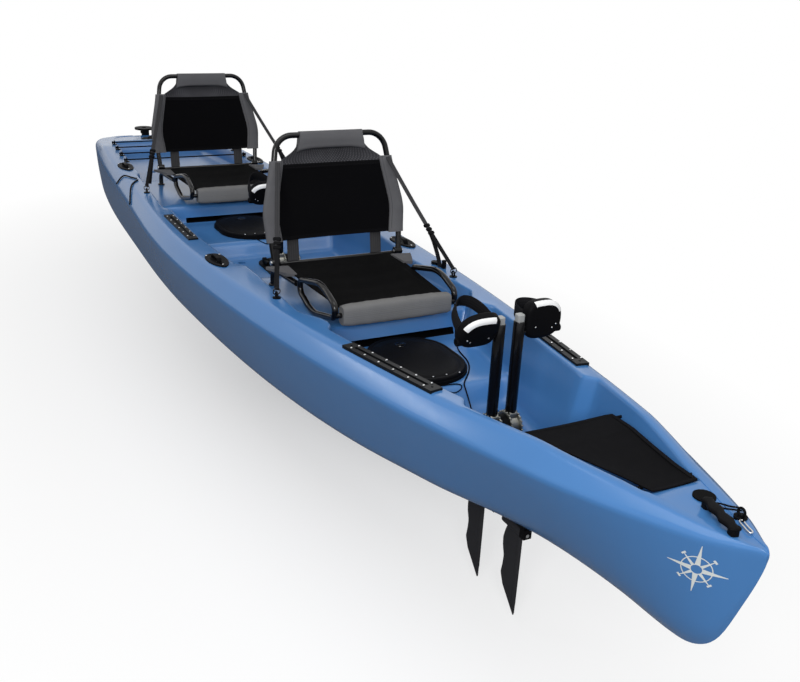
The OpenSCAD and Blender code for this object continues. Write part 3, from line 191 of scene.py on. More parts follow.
class FinishTree:
    """Builds the shader nodes of one finish."""

    cloud_mm = 90.0
    smudge_mm = 14.0
    gloss_span = (-0.05, 0.06)
    braid_deg = 40.0

    def __init__(self, finish: Finish) -> None:
        """Starts an empty material for the finish.

        Args:
            finish: the finish to build.
        """
        self.finish = finish
        self.material = bpy.data.materials.new(finish.name)
        self.material.use_nodes = True
        self.tree = self.material.node_tree
        self.sockets = self.tree.nodes["Principled BSDF"].inputs
        self.place = add_node(self.tree, "ShaderNodeTexCoord", {}).outputs

    def noise(self, size_mm: float) -> Socket:
        """Returns a noise with features of about size_mm on Object coordinates."""
        inputs = {"Scale": 1 / (size_mm * MM), "Detail": 3.0, "Vector": self.place["Object"]}
        return add_node(self.tree, "ShaderNodeTexNoise", inputs).outputs[0]

    def bands(self, pitch_mm: float, turn_deg: float) -> Socket:
        """Returns waves of that pitch across the UV map, turned by an angle."""
        inputs = {"Rotation": (0, 0, math.radians(turn_deg)), "Vector": self.place["UV"]}
        turned = add_node(self.tree, "ShaderNodeMapping", inputs).outputs["Vector"]
        inputs = {"Scale": 2 * math.pi / (20 * pitch_mm * MM), "Vector": turned}
        return add_node(self.tree, "ShaderNodeTexWave", inputs).outputs["Fac"]

    def combined(self, operation: str, a: Any, b: Any) -> Socket:
        """Returns the result of a Math node on two sockets or numbers."""
        return add_node(self.tree, "ShaderNodeMath", {0: a, 1: b}, operation=operation).outputs[0]

    def shade(self, value: Socket, dark: float, light: float) -> None:
        """Colours the surface between two shares of the finish's colour.

        Args:
            value: where it lies between them.
            dark: the darker share.
            light: the lighter share.
        """
        low = (*(c * dark for c in self.finish.colour), 1)
        high = (*(min(1, c * light) for c in self.finish.colour), 1)
        node = add_node(self.tree, "ShaderNodeMix", {0: value, 6: low, 7: high}, data_type="RGBA")
        self.tree.links.new(node.outputs[2], self.sockets["Base Color"])

    def bump(self, height: Socket, depth_mm: float) -> None:
        """Raises the surface by a height value, to a depth in millimetres."""
        inputs = {"Strength": 1.0, "Distance": depth_mm * MM, "Height": height}
        node = add_node(self.tree, "ShaderNodeBump", inputs)
        self.tree.links.new(node.outputs["Normal"], self.sockets["Normal"])

    def gloss(self) -> None:
        """Sets the metal, the shine and the smudged roughness."""
        f = self.finish
        self.sockets["Metallic"].default_value = 1.0 if f.surface is Surface.METAL else 0.0
        self.sockets["Specular IOR Level"].default_value = f.shine
        low, high = (f.roughness + v for v in self.gloss_span)
        inputs = {"Value": self.noise(self.smudge_mm), "To Min": low, "To Max": high}
        node = add_node(self.tree, "ShaderNodeMapRange", inputs)
        self.tree.links.new(node.outputs["Result"], self.sockets["Roughness"])

    def weave(self, cloud: Socket) -> None:
        """Gives the surface crossed threads, straight for a weave and slanted for a knit."""
        f = self.finish
        turn = 45.0 if f.surface is Surface.KNIT else 0.0
        threads = self.combined("MULTIPLY", self.bands(f.pitch, turn), self.bands(f.pitch, turn + 90))
        tone = self.combined("MULTIPLY", self.combined("ADD", threads, cloud), 0.5)
        self.shade(tone, 1 - 3 * f.vary, 1 + 3 * f.vary)
        self.bump(threads, f.relief)
        self.sockets["Sheen Weight"].default_value = 0.2 * f.shine
        self.sockets["Sheen Roughness"].default_value = 0.6

    def build(self) -> bpy.types.Material:
        """Returns the finished material."""
        f = self.finish
        cloud = self.noise(self.cloud_mm)
        self.gloss()
        if f.surface in (Surface.WOVEN, Surface.KNIT):
            self.weave(cloud)
        elif f.surface is Surface.RIBBED:
            cross = self.combined("MULTIPLY", self.bands(f.pitch * 0.8, 90.0), 0.4)
            cloth = self.combined("ADD", self.combined("MULTIPLY", self.bands(f.pitch, 0.0), 0.6), cross)
            self.shade(cloth, 1 - 3 * f.vary, 1 + 2 * f.vary)
            self.bump(cloth, f.relief)
        elif f.surface is Surface.BRAIDED:
            left, right = self.bands(f.pitch, self.braid_deg), self.bands(f.pitch, -self.braid_deg)
            braid = self.combined("MULTIPLY", left, right)
            self.shade(braid, 1 - 3 * f.vary, 1 + 4 * f.vary)
            self.bump(braid, f.relief)
        else:
            self.shade(cloud, 1 - f.vary, 1 + f.vary)
            grains = {Surface.METAL: (1.5, 0.02), Surface.PRINT: (1.5, 0.02), Surface.COATED: (6.0, 0.03)}
            size_mm, depth_mm = grains.get(f.surface, (f.pitch, f.relief * 0.1))
            self.bump(self.noise(size_mm), depth_mm)
        if f.surface is Surface.COATED:
            self.sockets["Coat Weight"].default_value = 0.4
            self.sockets["Coat Roughness"].default_value = 0.12
        return self.material


HULL_SKIN = Finish("hull_skin", tint(68, 120, 178), 0.2, Surface.SHELL,
                   pitch=1.6, relief=0.2, vary=0.03, shine=0.38)
BLACK_MOULDING = Finish("black_moulding", tint(14, 14, 16), 0.45, Surface.MOULDED,
                        pitch=0.9, relief=0.6, shine=0.03)
GREY_MOULDING = Finish("grey_moulding", tint(150, 152, 152), 0.45, Surface.MOULDED, pitch=0.9, relief=0.5)
TRACK_BLACK = Finish("track_black", tint(19, 20, 22), 0.38, Surface.MOULDED,
                     pitch=0.8, relief=0.5, shine=0.08)
TUBE_COAT = Finish("tube_coat", tint(11, 11, 13), 0.22, Surface.COATED, shine=0.08)
STAINLESS = Finish("stainless", tint(196, 197, 198), 0.28, Surface.METAL)
SPROCKET_METAL = Finish("sprocket_metal", tint(138, 138, 133), 0.45, Surface.METAL)
PANEL_CLOTH = Finish("panel_cloth", tint(12, 12, 14), 0.85, Surface.WOVEN, pitch=1.6, shine=0.02)
BAND_MESH = Finish("band_mesh", tint(76, 76, 80), 0.75, Surface.KNIT,
                   pitch=7.0, relief=0.5, vary=0.3, shine=0.03)
PAN_CLOTH = Finish("pan_cloth", tint(8, 8, 9), 0.85, Surface.WOVEN, pitch=1.8, shine=0.02)
GREY_CLOTH = Finish("grey_cloth", tint(103, 103, 106), 0.8, Surface.WOVEN, pitch=1.4, shine=0.03)
ROLL_CLOTH = Finish("roll_cloth", tint(122, 122, 122), 0.8, Surface.WOVEN, pitch=1.8, shine=0.03)
BOW_MESH = Finish("bow_mesh", tint(15, 15, 17), 0.75, Surface.KNIT, vary=0.14, shine=0.02)
HEM_TAPE = Finish("hem_tape", tint(14, 14, 16), 0.75, Surface.RIBBED, pitch=1.4, relief=0.25, shine=0.03)
WEBBING = Finish("strap_webbing", tint(30, 30, 32), 0.75, Surface.RIBBED, shine=0.03)
GREY_WEBBING = Finish("grey_webbing", tint(62, 62, 64), 0.75, Surface.RIBBED, shine=0.03)
THREAD = Finish("seam_thread", tint(40, 40, 42), 0.75, Surface.MOULDED, pitch=0.6, shine=0.03)
SHOCK_CORD = Finish("shock_cord", tint(15, 15, 16), 0.7, Surface.BRAIDED, pitch=2.2, shine=0.03)
FIN_RUBBER = Finish("fin_moulding", tint(45, 45, 48), 0.5, Surface.MOULDED,
                    pitch=1.2, relief=0.8, shine=0.06)
REFLECTIVE = Finish("reflective_strip", tint(236, 237, 238), 0.35, Surface.PRINT)
SILVER_PRINT = Finish("silver_print", tint(214, 219, 218), 0.4, Surface.PRINT)
BADGE_PLATE = Finish("badge_plate", tint(9, 9, 10), 0.5, Surface.MOULDED, pitch=0.9, shine=0.02)

CAD_FINISHES: Dict[Finish, Tuple[str, ...]] = {
    TRACK_BLACK: ("front_tracks", "rear_tracks"),
    BADGE_PLATE: ("bow_badge",),
    STAINLESS: ("rudder_pins", "seat_hinge_pins", "front_drive_shafts", "rear_drive_shafts"),
    BLACK_MOULDING: (
        "mesh_hooks", "deck_padeyes", "drain_plug", "front_hatch_rim", "rear_hatch_rim", "front_hatch_bucket",
        "rear_hatch_bucket", "rudder_bracket", "rudder_head", "steering_lever", "front_drive_spine",
        "rear_drive_spine", "front_lock_cams", "rear_lock_cams"),
}


@dataclass
class Form:
    """Points in millimetres, the faces over them, and each face corner's place on the cloth in metres."""

    points: List[Vector] = field(default_factory=list)
    faces: List[Tuple[int, ...]] = field(default_factory=list)
    corners: List[List[Pair]] = field(default_factory=list)

    def face(self, ids: Sequence[int], uv: Optional[Sequence[Pair]] = None) -> None:
        """Adds a face, with its corners on the cloth if they are given."""
        self.faces.append(tuple(ids))
        self.corners.append(list(uv) if uv else [(0.0, 0.0)] * len(ids))

    def quad(self, *corners: Vector) -> None:
        """Adds a face on points of its own."""
        n = len(self.points)
        self.points += corners
        self.face(range(n, n + len(corners)))

    def join(self, other: "Form") -> "Form":
        """Adds another form's points and faces, and returns this form."""
        shift = len(self.points)
        self.points += other.points
        self.faces += [tuple(i + shift for i in f) for f in other.faces]
        self.corners += other.corners
        return self

    def placed(self, matrix: Matrix) -> "Form":
        """Returns the form with its points moved by a matrix in millimetres."""
        return Form([matrix @ p for p in self.points], list(self.faces), list(self.corners))

    def moved(self, x: float, y: float, z: float) -> "Form":
        """Returns the form moved along the axes, in millimetres."""
        return self.placed(Matrix.Translation((x, y, z)))


def loft(rings: Sequence[Sequence[Vector]], looped: bool = False,
         lengths: Optional[Sequence[float]] = None, girth: float = 0.0) -> Form:
    """Skins closed rings of equal count, and closes the ends.

    Args:
        rings: the rings, in order.
        looped: whether the last ring joins the first, with no ends.
        lengths: the place of each ring along the cloth, in millimetres.
        girth: the distance round a ring on the cloth, in millimetres.

    Returns:
        The skinned form.
    """
    n = len(rings[0])
    m = len(rings)
    made = Form([p.copy() for r in rings for p in r])
    places = list(lengths) if lengths else [0.0] * m
    for i in range(m if looped else m - 1):
        k = (i + 1) % m
        va, vb = places[i] * MM, places[k] * MM
        for j in range(n):
            q = (j + 1) % n
            ua, ub = girth * j / n * MM, girth * (j + 1) / n * MM
            ids = (i * n + j, i * n + q, k * n + q, k * n + j)
            made.face(ids, ((ua, va), (ub, va), (ub, vb), (ua, vb)))
    if not looped:
        made.face(tuple(reversed(range(n))))
        made.face(tuple((m - 1) * n + j for j in range(n)))
    return made


def path_lengths(path: Sequence[Vector]) -> List[float]:
    """Returns the distance along a path at each of its points."""
    found = [0.0]
    for a, b in zip(path, path[1:]):
        found.append(found[-1] + (b - a).length)
    return found


def directions(path: Sequence[Vector], looped: bool = False) -> List[Vector]:
    """Returns the unit direction of a path at each of its points."""
    n = len(path)
    found = []
    for i in range(n):
        a = path[(i - 1) % n] if looped else path[max(i - 1, 0)]
        b = path[(i + 1) % n] if looped else path[min(i + 1, n - 1)]
        found.append((b - a).normalized())
    return found


def tube(path: Sequence[Vector], dia: float, sides: int = 16, looped: bool = False) -> Form:
    """Sweeps a round section along a path without twist.

    Args:
        path: the middle line.
        dia: the diameter.
        sides: faces round the section.
        looped: whether the path closes.

    Returns:
        The tube.
    """
    ways = directions(path, looped)
    side = ways[0].orthogonal().normalized()
    rings = []
    for p, way in zip(path, ways):
        side = (side - way * side.dot(way)).normalized()
        other = way.cross(side)
        rings.append([p + (side * math.cos(a) + other * math.sin(a)) * (dia / 2) for a in around(sides)])
    return loft(rings, looped, path_lengths(path), math.pi * dia)


def strap(path: Sequence[Vector], width: float, thick: float, across: Vector = PORT) -> Form:
    """Sweeps a flat section with rounded edges along a path.

    Args:
        path: the middle line.
        width: the strap's width.
        thick: the strap's thickness.
        across: the direction of the width.

    Returns:
        The strap.
    """
    half = [(-0.5, -0.25), (-0.46, -0.5), (0.46, -0.5), (0.5, -0.25)]
    outline = half + [(-a, -b) for a, b in half]
    rings = []
    for p, way in zip(path, directions(path)):
        side = (across - way * across.dot(way)).normalized()
        up = way.cross(side)
        rings.append([p + side * (a * width) + up * (b * thick) for a, b in outline])
    return loft(rings, lengths=path_lengths(path), girth=2 * width)


def smooth_path(points: Sequence[Vector], steps: int, looped: bool = False) -> List[Vector]:
    """Returns a smooth path through points.

    Args:
        points: the points it passes.
        steps: new points for each run.
        looped: whether the path closes.

    Returns:
        The points of the path.
    """
    n = len(points)
    made = []
    for i in range(n if looped else n - 1):
        ids = [i - 1, i, i + 1, i + 2]
        p = [points[k % n] if looped else points[int(clamp(k, 0, n - 1))] for k in ids]
        for j in range(steps):
            s = j / steps
            made.append(0.5 * (2 * p[1] + (p[2] - p[0]) * s + (2 * p[0] - 5 * p[1] + 4 * p[2] - p[3]) * s ** 2
                               + (3 * p[1] - p[0] - 3 * p[2] + p[3]) * s ** 3))
    return made if looped else made + [points[-1].copy()]


def bend_arc(a: Vector, c: Vector, b: Vector, r: float, step_deg: float = 8.0) -> List[Vector]:
    """Rounds a corner of a path.

    Args:
        a: the point before the corner.
        c: the corner.
        b: the point after it.
        r: the radius.
        step_deg: the turn between two points.

    Returns:
        The points of the bend.
    """
    u = (c - a).normalized()
    w = (b - c).normalized()
    turn = math.acos(clamp(u.dot(w), -1, 1))
    if turn < math.radians(1):
        return [c]
    v = (w - u * u.dot(w)).normalized()
    start = c - u * r * math.tan(turn / 2)
    n = max(2, math.ceil(math.degrees(turn) / step_deg))
    turns = [turn * i / n for i in range(n + 1)]
    return [start + u * r * math.sin(t) + v * r * (1 - math.cos(t)) for t in turns]


def bent_line(points: Sequence[Vector], bends: Sequence[float]) -> List[Vector]:
    """Returns an open tube's middle line: straight runs with a round bend at each inner point."""
    made = [points[0]]
    for i in range(1, len(points) - 1):
        made += bend_arc(points[i - 1], points[i], points[i + 1], bends[i])
    return made + [points[-1]]


def bent_loop(points: Sequence[Vector], bends: Sequence[float]) -> List[Vector]:
    """Returns a closed tube's middle line: straight runs with a round bend at each point."""
    n = len(points)
    made: List[Vector] = []
    for i in range(n):
        made += bend_arc(points[i - 1], points[i], points[(i + 1) % n], bends[i])
    return made


def sheet(grid: Callable[[float, float], Vector], rows: int, cols: int, thick: float, size: Pair) -> Form:
    """Makes a cloth with thickness from a rule for its middle surface.

    Args:
        grid: the point at shares (u, v) across and along the cloth.
        rows: faces along v.
        cols: faces across u.
        thick: the cloth's thickness.
        size: the cloth's width and length.

    Returns:
        The closed form.
    """
    made = Form()
    step = 1e-3
    for layer in (0.5, -0.5):
        for i in range(rows + 1):
            for j in range(cols + 1):
                u, v = j / cols, i / rows
                a = grid(min(u + step, 1), v) - grid(max(u - step, 0), v)
                b = grid(u, min(v + step, 1)) - grid(u, max(v - step, 0))
                made.points.append(grid(u, v) + a.cross(b).normalized() * (layer * thick))
    wide = cols + 1
    count = (rows + 1) * wide

    def uv(j: int, i: int) -> Pair:
        """Returns a grid corner's place on the cloth, in metres."""
        return size[0] * j / cols * MM, size[1] * i / rows * MM

    for i in range(rows):
        for j in range(cols):
            a = i * wide + j
            b = a + wide
            at = (uv(j, i), uv(j + 1, i), uv(j + 1, i + 1), uv(j, i + 1))
            made.face((a, a + 1, b + 1, b), at)
            made.face(tuple(k + count for k in (b, b + 1, a + 1, a)), (at[3], at[2], at[1], at[0]))
    edge = list(range(wide)) + [i * wide + cols for i in range(1, rows + 1)]
    edge += [rows * wide + j for j in range(cols - 1, -1, -1)] + [i * wide for i in range(rows - 1, 0, -1)]
    for a, b in zip(edge, edge[1:] + edge[:1]):
        made.face((b, a, a + count, b + count))
    return made


def round_outline(l: float, w: float, r: float, steps: int = 8) -> List[Vector]:
    """Draws a rectangle with round corners, counter-clockwise.

    Args:
        l: its length along X.
        w: its width along Y.
        r: the corners' radius.
        steps: runs of each corner.

    Returns:
        The outline.
    """
    made = []
    for k, (sx, sy) in enumerate(((1, 1), (-1, 1), (-1, -1), (1, -1))):
        for i in range(steps + 1):
            a = math.pi / 2 * (k + i / steps)
            x, y = sx * (l / 2 - r) + r * math.cos(a), sy * (w / 2 - r) + r * math.sin(a)
            made.append(Vector((x, y, 0)))
    return made


def inset_outline(outline: Sequence[Vector], by: float) -> List[Vector]:
    """Returns a flat outline moved inwards by a distance."""
    ways = directions(outline, looped=True)
    return [p + Vector((-w.y, w.x, 0)) * by for p, w in zip(outline, ways)]


def stacked(outline: Sequence[Vector], levels: Sequence[Pair]) -> Form:
    """Skins copies of a flat outline, each given by its inset and its height."""
    return loft([[Vector((p.x, p.y, z)) for p in inset_outline(outline, by)] for by, z in levels])


def soft_prism(outline: Sequence[Vector], low: float, high: float, edge: float, foot: float = 0.0) -> Form:
    """Stands a flat outline up as a solid with rounded edges.

    Args:
        outline: the outline, counter-clockwise.
        low: the height of its foot.
        high: the height of its top.
        edge: the radius of the top edge.
        foot: the radius of the bottom edge.

    Returns:
        The closed form.
    """
    steps = 4
    quarter = [math.pi / 2 * i / steps for i in range(steps + 1)]
    levels = [(0.0, low + foot)]
    if foot > 0:
        levels = [(foot * (1 - math.sin(a)), low + foot * (1 - math.cos(a))) for a in quarter[:-1]] + levels
    levels += [(edge * (1 - math.cos(a)), high - edge * (1 - math.sin(a))) for a in quarter]
    return stacked(outline, levels)


def spun(profile: Sequence[Pair], sides: int) -> Form:
    """Turns a profile of (radius, height) pairs about Z into a closed form."""
    rings = []
    for r, z in profile:
        reach = max(r, 0.01)
        rings.append([Vector((reach * math.cos(a), reach * math.sin(a), z)) for a in around(sides)])
    return loft(rings)


def frame_at(origin: Vector, x: Vector, z: Vector = UP) -> Matrix:
    """Makes a frame in millimetres.

    Args:
        origin: its place.
        x: the direction of its X.
        z: the direction that its Z comes nearest to.

    Returns:
        The frame.
    """
    ax = x.normalized()
    az = (z - ax * z.dot(ax)).normalized()
    ay = az.cross(ax)
    rows = [(ax[i], ay[i], az[i], origin[i]) for i in range(3)]
    return Matrix((*rows, (0, 0, 0, 1)))


def spot_on(at: Matrix, x: float, y: float, z: float) -> Spot:
    """Returns a spot of a row on a frame, facing its Z and running along its X."""
    return at @ Vector((x, y, z)), at.col[2].xyz, at.col[0].xyz


class RowShape(Enum):
    """The small shape that a row repeats."""

    SCREW = "screw"
    STITCH = "stitch"
    LINK = "link"


class RowTree:
    """A geometry-node tree that sets one small shape, about one unit across, on every point of a mesh."""

    solids: Dict[RowShape, Tuple[str, Dict[str, float]]] = {
        RowShape.SCREW: ("GeometryNodeMeshCone",
                         {"Vertices": 10, "Radius Top": 0.34, "Radius Bottom": 0.5, "Depth": 1.0}),
        RowShape.LINK: ("GeometryNodeMeshCylinder", {"Vertices": 10, "Radius": 0.5, "Depth": 1.0}),
        RowShape.STITCH: ("GeometryNodeMeshIcoSphere", {"Radius": 0.5, "Subdivisions": 1}),
    }

    def __init__(self, shape: RowShape) -> None:
        """Builds the tree for one shape.

        Args:
            shape: the shape that is repeated.
        """
        self.group = bpy.data.node_groups.new(f"row_of_{shape.value}", "GeometryNodeTree")
        face = self.group.interface
        face.new_socket("Points", in_out="INPUT", socket_type="NodeSocketGeometry")
        self.size = face.new_socket("Size", in_out="INPUT", socket_type="NodeSocketVector")
        self.finish = face.new_socket("Finish", in_out="INPUT", socket_type="NodeSocketMaterial")
        face.new_socket("Row", in_out="OUTPUT", socket_type="NodeSocketGeometry")
        source = add_node(self.group, "NodeGroupInput", {}).outputs
        kind, sizes = self.solids[shape]
        solid = add_node(self.group, kind, sizes).outputs["Mesh"]
        run = self.turned("run", "X", {"Rotation": self.turned("aim", "Z", {})})
        inputs = {"Points": source["Points"], "Instance": solid, "Rotation": run, "Scale": source["Size"]}
        row = add_node(self.group, "GeometryNodeInstanceOnPoints", inputs).outputs["Instances"]
        for step in ("GeometryNodeRealizeInstances", "GeometryNodeSetShadeSmooth"):
            row = add_node(self.group, step, {"Geometry": row}).outputs["Geometry"]
        inputs = {"Geometry": row, "Material": source["Finish"]}
        paint = add_node(self.group, "GeometryNodeSetMaterial", inputs)
        add_node(self.group, "NodeGroupOutput", {"Row": paint.outputs["Geometry"]})

    def turned(self, attribute: str, axis: str, inputs: Dict[str, Socket]) -> Socket:
        """Turns an axis of the shape to a named direction.

        Args:
            attribute: the direction's name.
            axis: the axis of the shape.
            inputs: the rotation so far.

        Returns:
            The rotation.
        """
        named = add_node(self.group, "GeometryNodeInputNamedAttribute", {"Name": attribute},
                         data_type="FLOAT_VECTOR")
        inputs["Vector"] = named.outputs["Attribute"]
        pivot = "AUTO" if axis == "Z" else "Z"
        node = add_node(self.group, "FunctionNodeAlignRotationToVector", inputs, axis=axis, pivot_axis=pivot)
        return node.outputs["Rotation"]


class Workshop:
    """What each sub-assembly makes its pieces with: objects from forms, set on the frame's bodies."""

    sharp_deg = 38.0
    trees: Dict[RowShape, RowTree] = {}

    def object(self, name: str, form: Form, finish: Finish, tidy: bool = True,
               sharp: float = sharp_deg) -> bpy.types.Object:
        """Makes an object from a form.

        Args:
            name: the piece's name.
            form: its points and faces, in millimetres.
            finish: its finish.
            tidy: whether its faces are turned outwards.
            sharp: the angle above which an edge stays sharp, in degrees.

        Returns:
            The new object, at the origin.
        """
        mesh = bpy.data.meshes.new(name)
        mesh.from_pydata([p * MM for p in form.points], [], form.faces)
        layer = mesh.uv_layers.new(name="UVMap")
        layer.data.foreach_set("uv", [v for face in form.corners for uv in face for v in uv])
        if tidy:
            work = bmesh.new()
            work.from_mesh(mesh)
            bmesh.ops.recalc_face_normals(work, faces=work.faces)
            work.to_mesh(mesh)
            work.free()
        mesh.shade_smooth()
        mesh.set_sharp_from_angle(angle=math.radians(sharp))
        mesh.materials.append(finish.material())
        made = bpy.data.objects.new(name, mesh)
        bpy.context.scene.collection.objects.link(made)
        return made

    def piece(self, name: str, form: Form, finish: Finish, body: str, slot: str, replaces: Sequence[str] = (),
              sharp: float = sharp_deg) -> bpy.types.Object:
        """Makes a piece, sets it on a body and reports it.

        Args:
            name: the piece's name.
            form: its points and faces, in millimetres.
            finish: its finish.
            body: the CAD body that carries it.
            slot: the record's material slot.
            replaces: the CAD nodes that it stands for.
            sharp: the angle above which an edge stays sharp, in degrees.

        Returns:
            The piece.
        """
        made = self.object(name, form, finish, sharp=sharp)
        self.seat(made, body, slot, replaces)
        return made

    def seat(self, made: bpy.types.Object, body: str, slot: str, replaces: Sequence[str] = ()) -> None:
        """Sets a finished object on a body and reports it.

        Args:
            made: the object.
            body: the CAD body that carries it.
            slot: not used.
            replaces: the CAD nodes that it stands for.
        """
        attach(made, body)
        if replaces:
            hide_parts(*replaces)
        LOG.info("%s rides on %s, %d faces", made.name, body, len(made.data.polygons))

    def bridge(self, made: bpy.types.Object, body: str, low: Vector, high: Vector,
               replaces: Sequence[str] = ()) -> None:
        """Leaves webbing where it lies between the hull and a body, and reports it.

        Args:
            made: the webbing.
            body: the body at its high end, named in the log.
            low: not used.
            high: not used.
            replaces: the CAD nodes that it stands for.
        """
        if replaces:
            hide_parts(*replaces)
        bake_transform(made)
        LOG.info("%s bends between the hull and %s", made.name, body)

    def cord(self, name: str, path: Sequence[Vector], dia: float, far_end: str, replaces: Sequence[str] = (),
             lay: str = "taut", with_pieces: Sequence[bpy.types.Object] = ()) -> None:
        """Args:
            name: the piece's name.
            path: its middle line, in millimetres.
            dia: its diameter in millimetres.
            far_end: not used.
            replaces: the CAD nodes that it stands for.
            lay: not used.
            with_pieces: not used.
        """
        made = self.piece(name, tube(path, dia, 12), SHOCK_CORD, "hull", "cord", replaces, sharp=60)

    def row(self, name: str, shape: RowShape, spots: Sequence[Spot], size: Triple, finish: Finish, body: str,
            slot: str, replaces: Sequence[str] = ()) -> None:
        """Sets a shape on every spot.

        Args:
            name: the piece's name.
            shape: the repeated shape.
            spots: place, outward direction and direction of the row at each spot, in millimetres.
            size: the shape's length, width and height in millimetres.
            finish: its finish.
            body: the CAD body that carries it.
            slot: the record's material slot.
            replaces: the CAD nodes that it stands for.
        """
        tree = self.trees.get(shape) or self.trees.setdefault(shape, RowTree(shape))
        seed = bpy.data.meshes.new(name + "_spots")
        seed.from_pydata([s[0] * MM for s in spots], [], [])
        for key, index in (("aim", 1), ("run", 2)):
            layer = seed.attributes.new(key, "FLOAT_VECTOR", "POINT")
            layer.data.foreach_set("vector", [c for s in spots for c in s[index]])
        holder = bpy.data.objects.new(name + "_spots", seed)
        bpy.context.scene.collection.objects.link(holder)
        modifier = holder.modifiers.new("row", "NODES")
        modifier.node_group = tree.group
        modifier[tree.size.identifier] = tuple(Vector(size) * MM)
        modifier[tree.finish.identifier] = finish.material()
        mesh = applied_mesh(holder)
        mesh.name = name
        bpy.data.objects.remove(holder)
        made = bpy.data.objects.new(name, mesh)
        bpy.context.scene.collection.objects.link(made)
        self.seat(made, body, slot, replaces)


@dataclass(frozen=True)
class ShapeCurve:
    """A smooth curve through pairs of a place and a value."""

    knots: Tuple[Pair, ...]

    def slope(self, i: int) -> float:
        """Returns the slope at a knot."""
        a = self.knots[max(i - 1, 0)]
        b = self.knots[min(i + 1, len(self.knots) - 1)]
        return (b[1] - a[1]) / (b[0] - a[0])

    def at(self, t: float) -> float:
        """Returns the value at a place."""
        i = 0
        while i < len(self.knots) - 2 and t > self.knots[i + 1][0]:
            i += 1
        (ta, va), (tb, vb) = self.knots[i], self.knots[i + 1]
        h = tb - ta
        s = clamp((t - ta) / h, 0, 1)
        return ((2 * s ** 3 - 3 * s ** 2 + 1) * va + (s ** 3 - 2 * s ** 2 + s) * h * self.slope(i)
                + (3 * s ** 2 - 2 * s ** 3) * vb + (s ** 3 - s ** 2) * h * self.slope(i + 1))


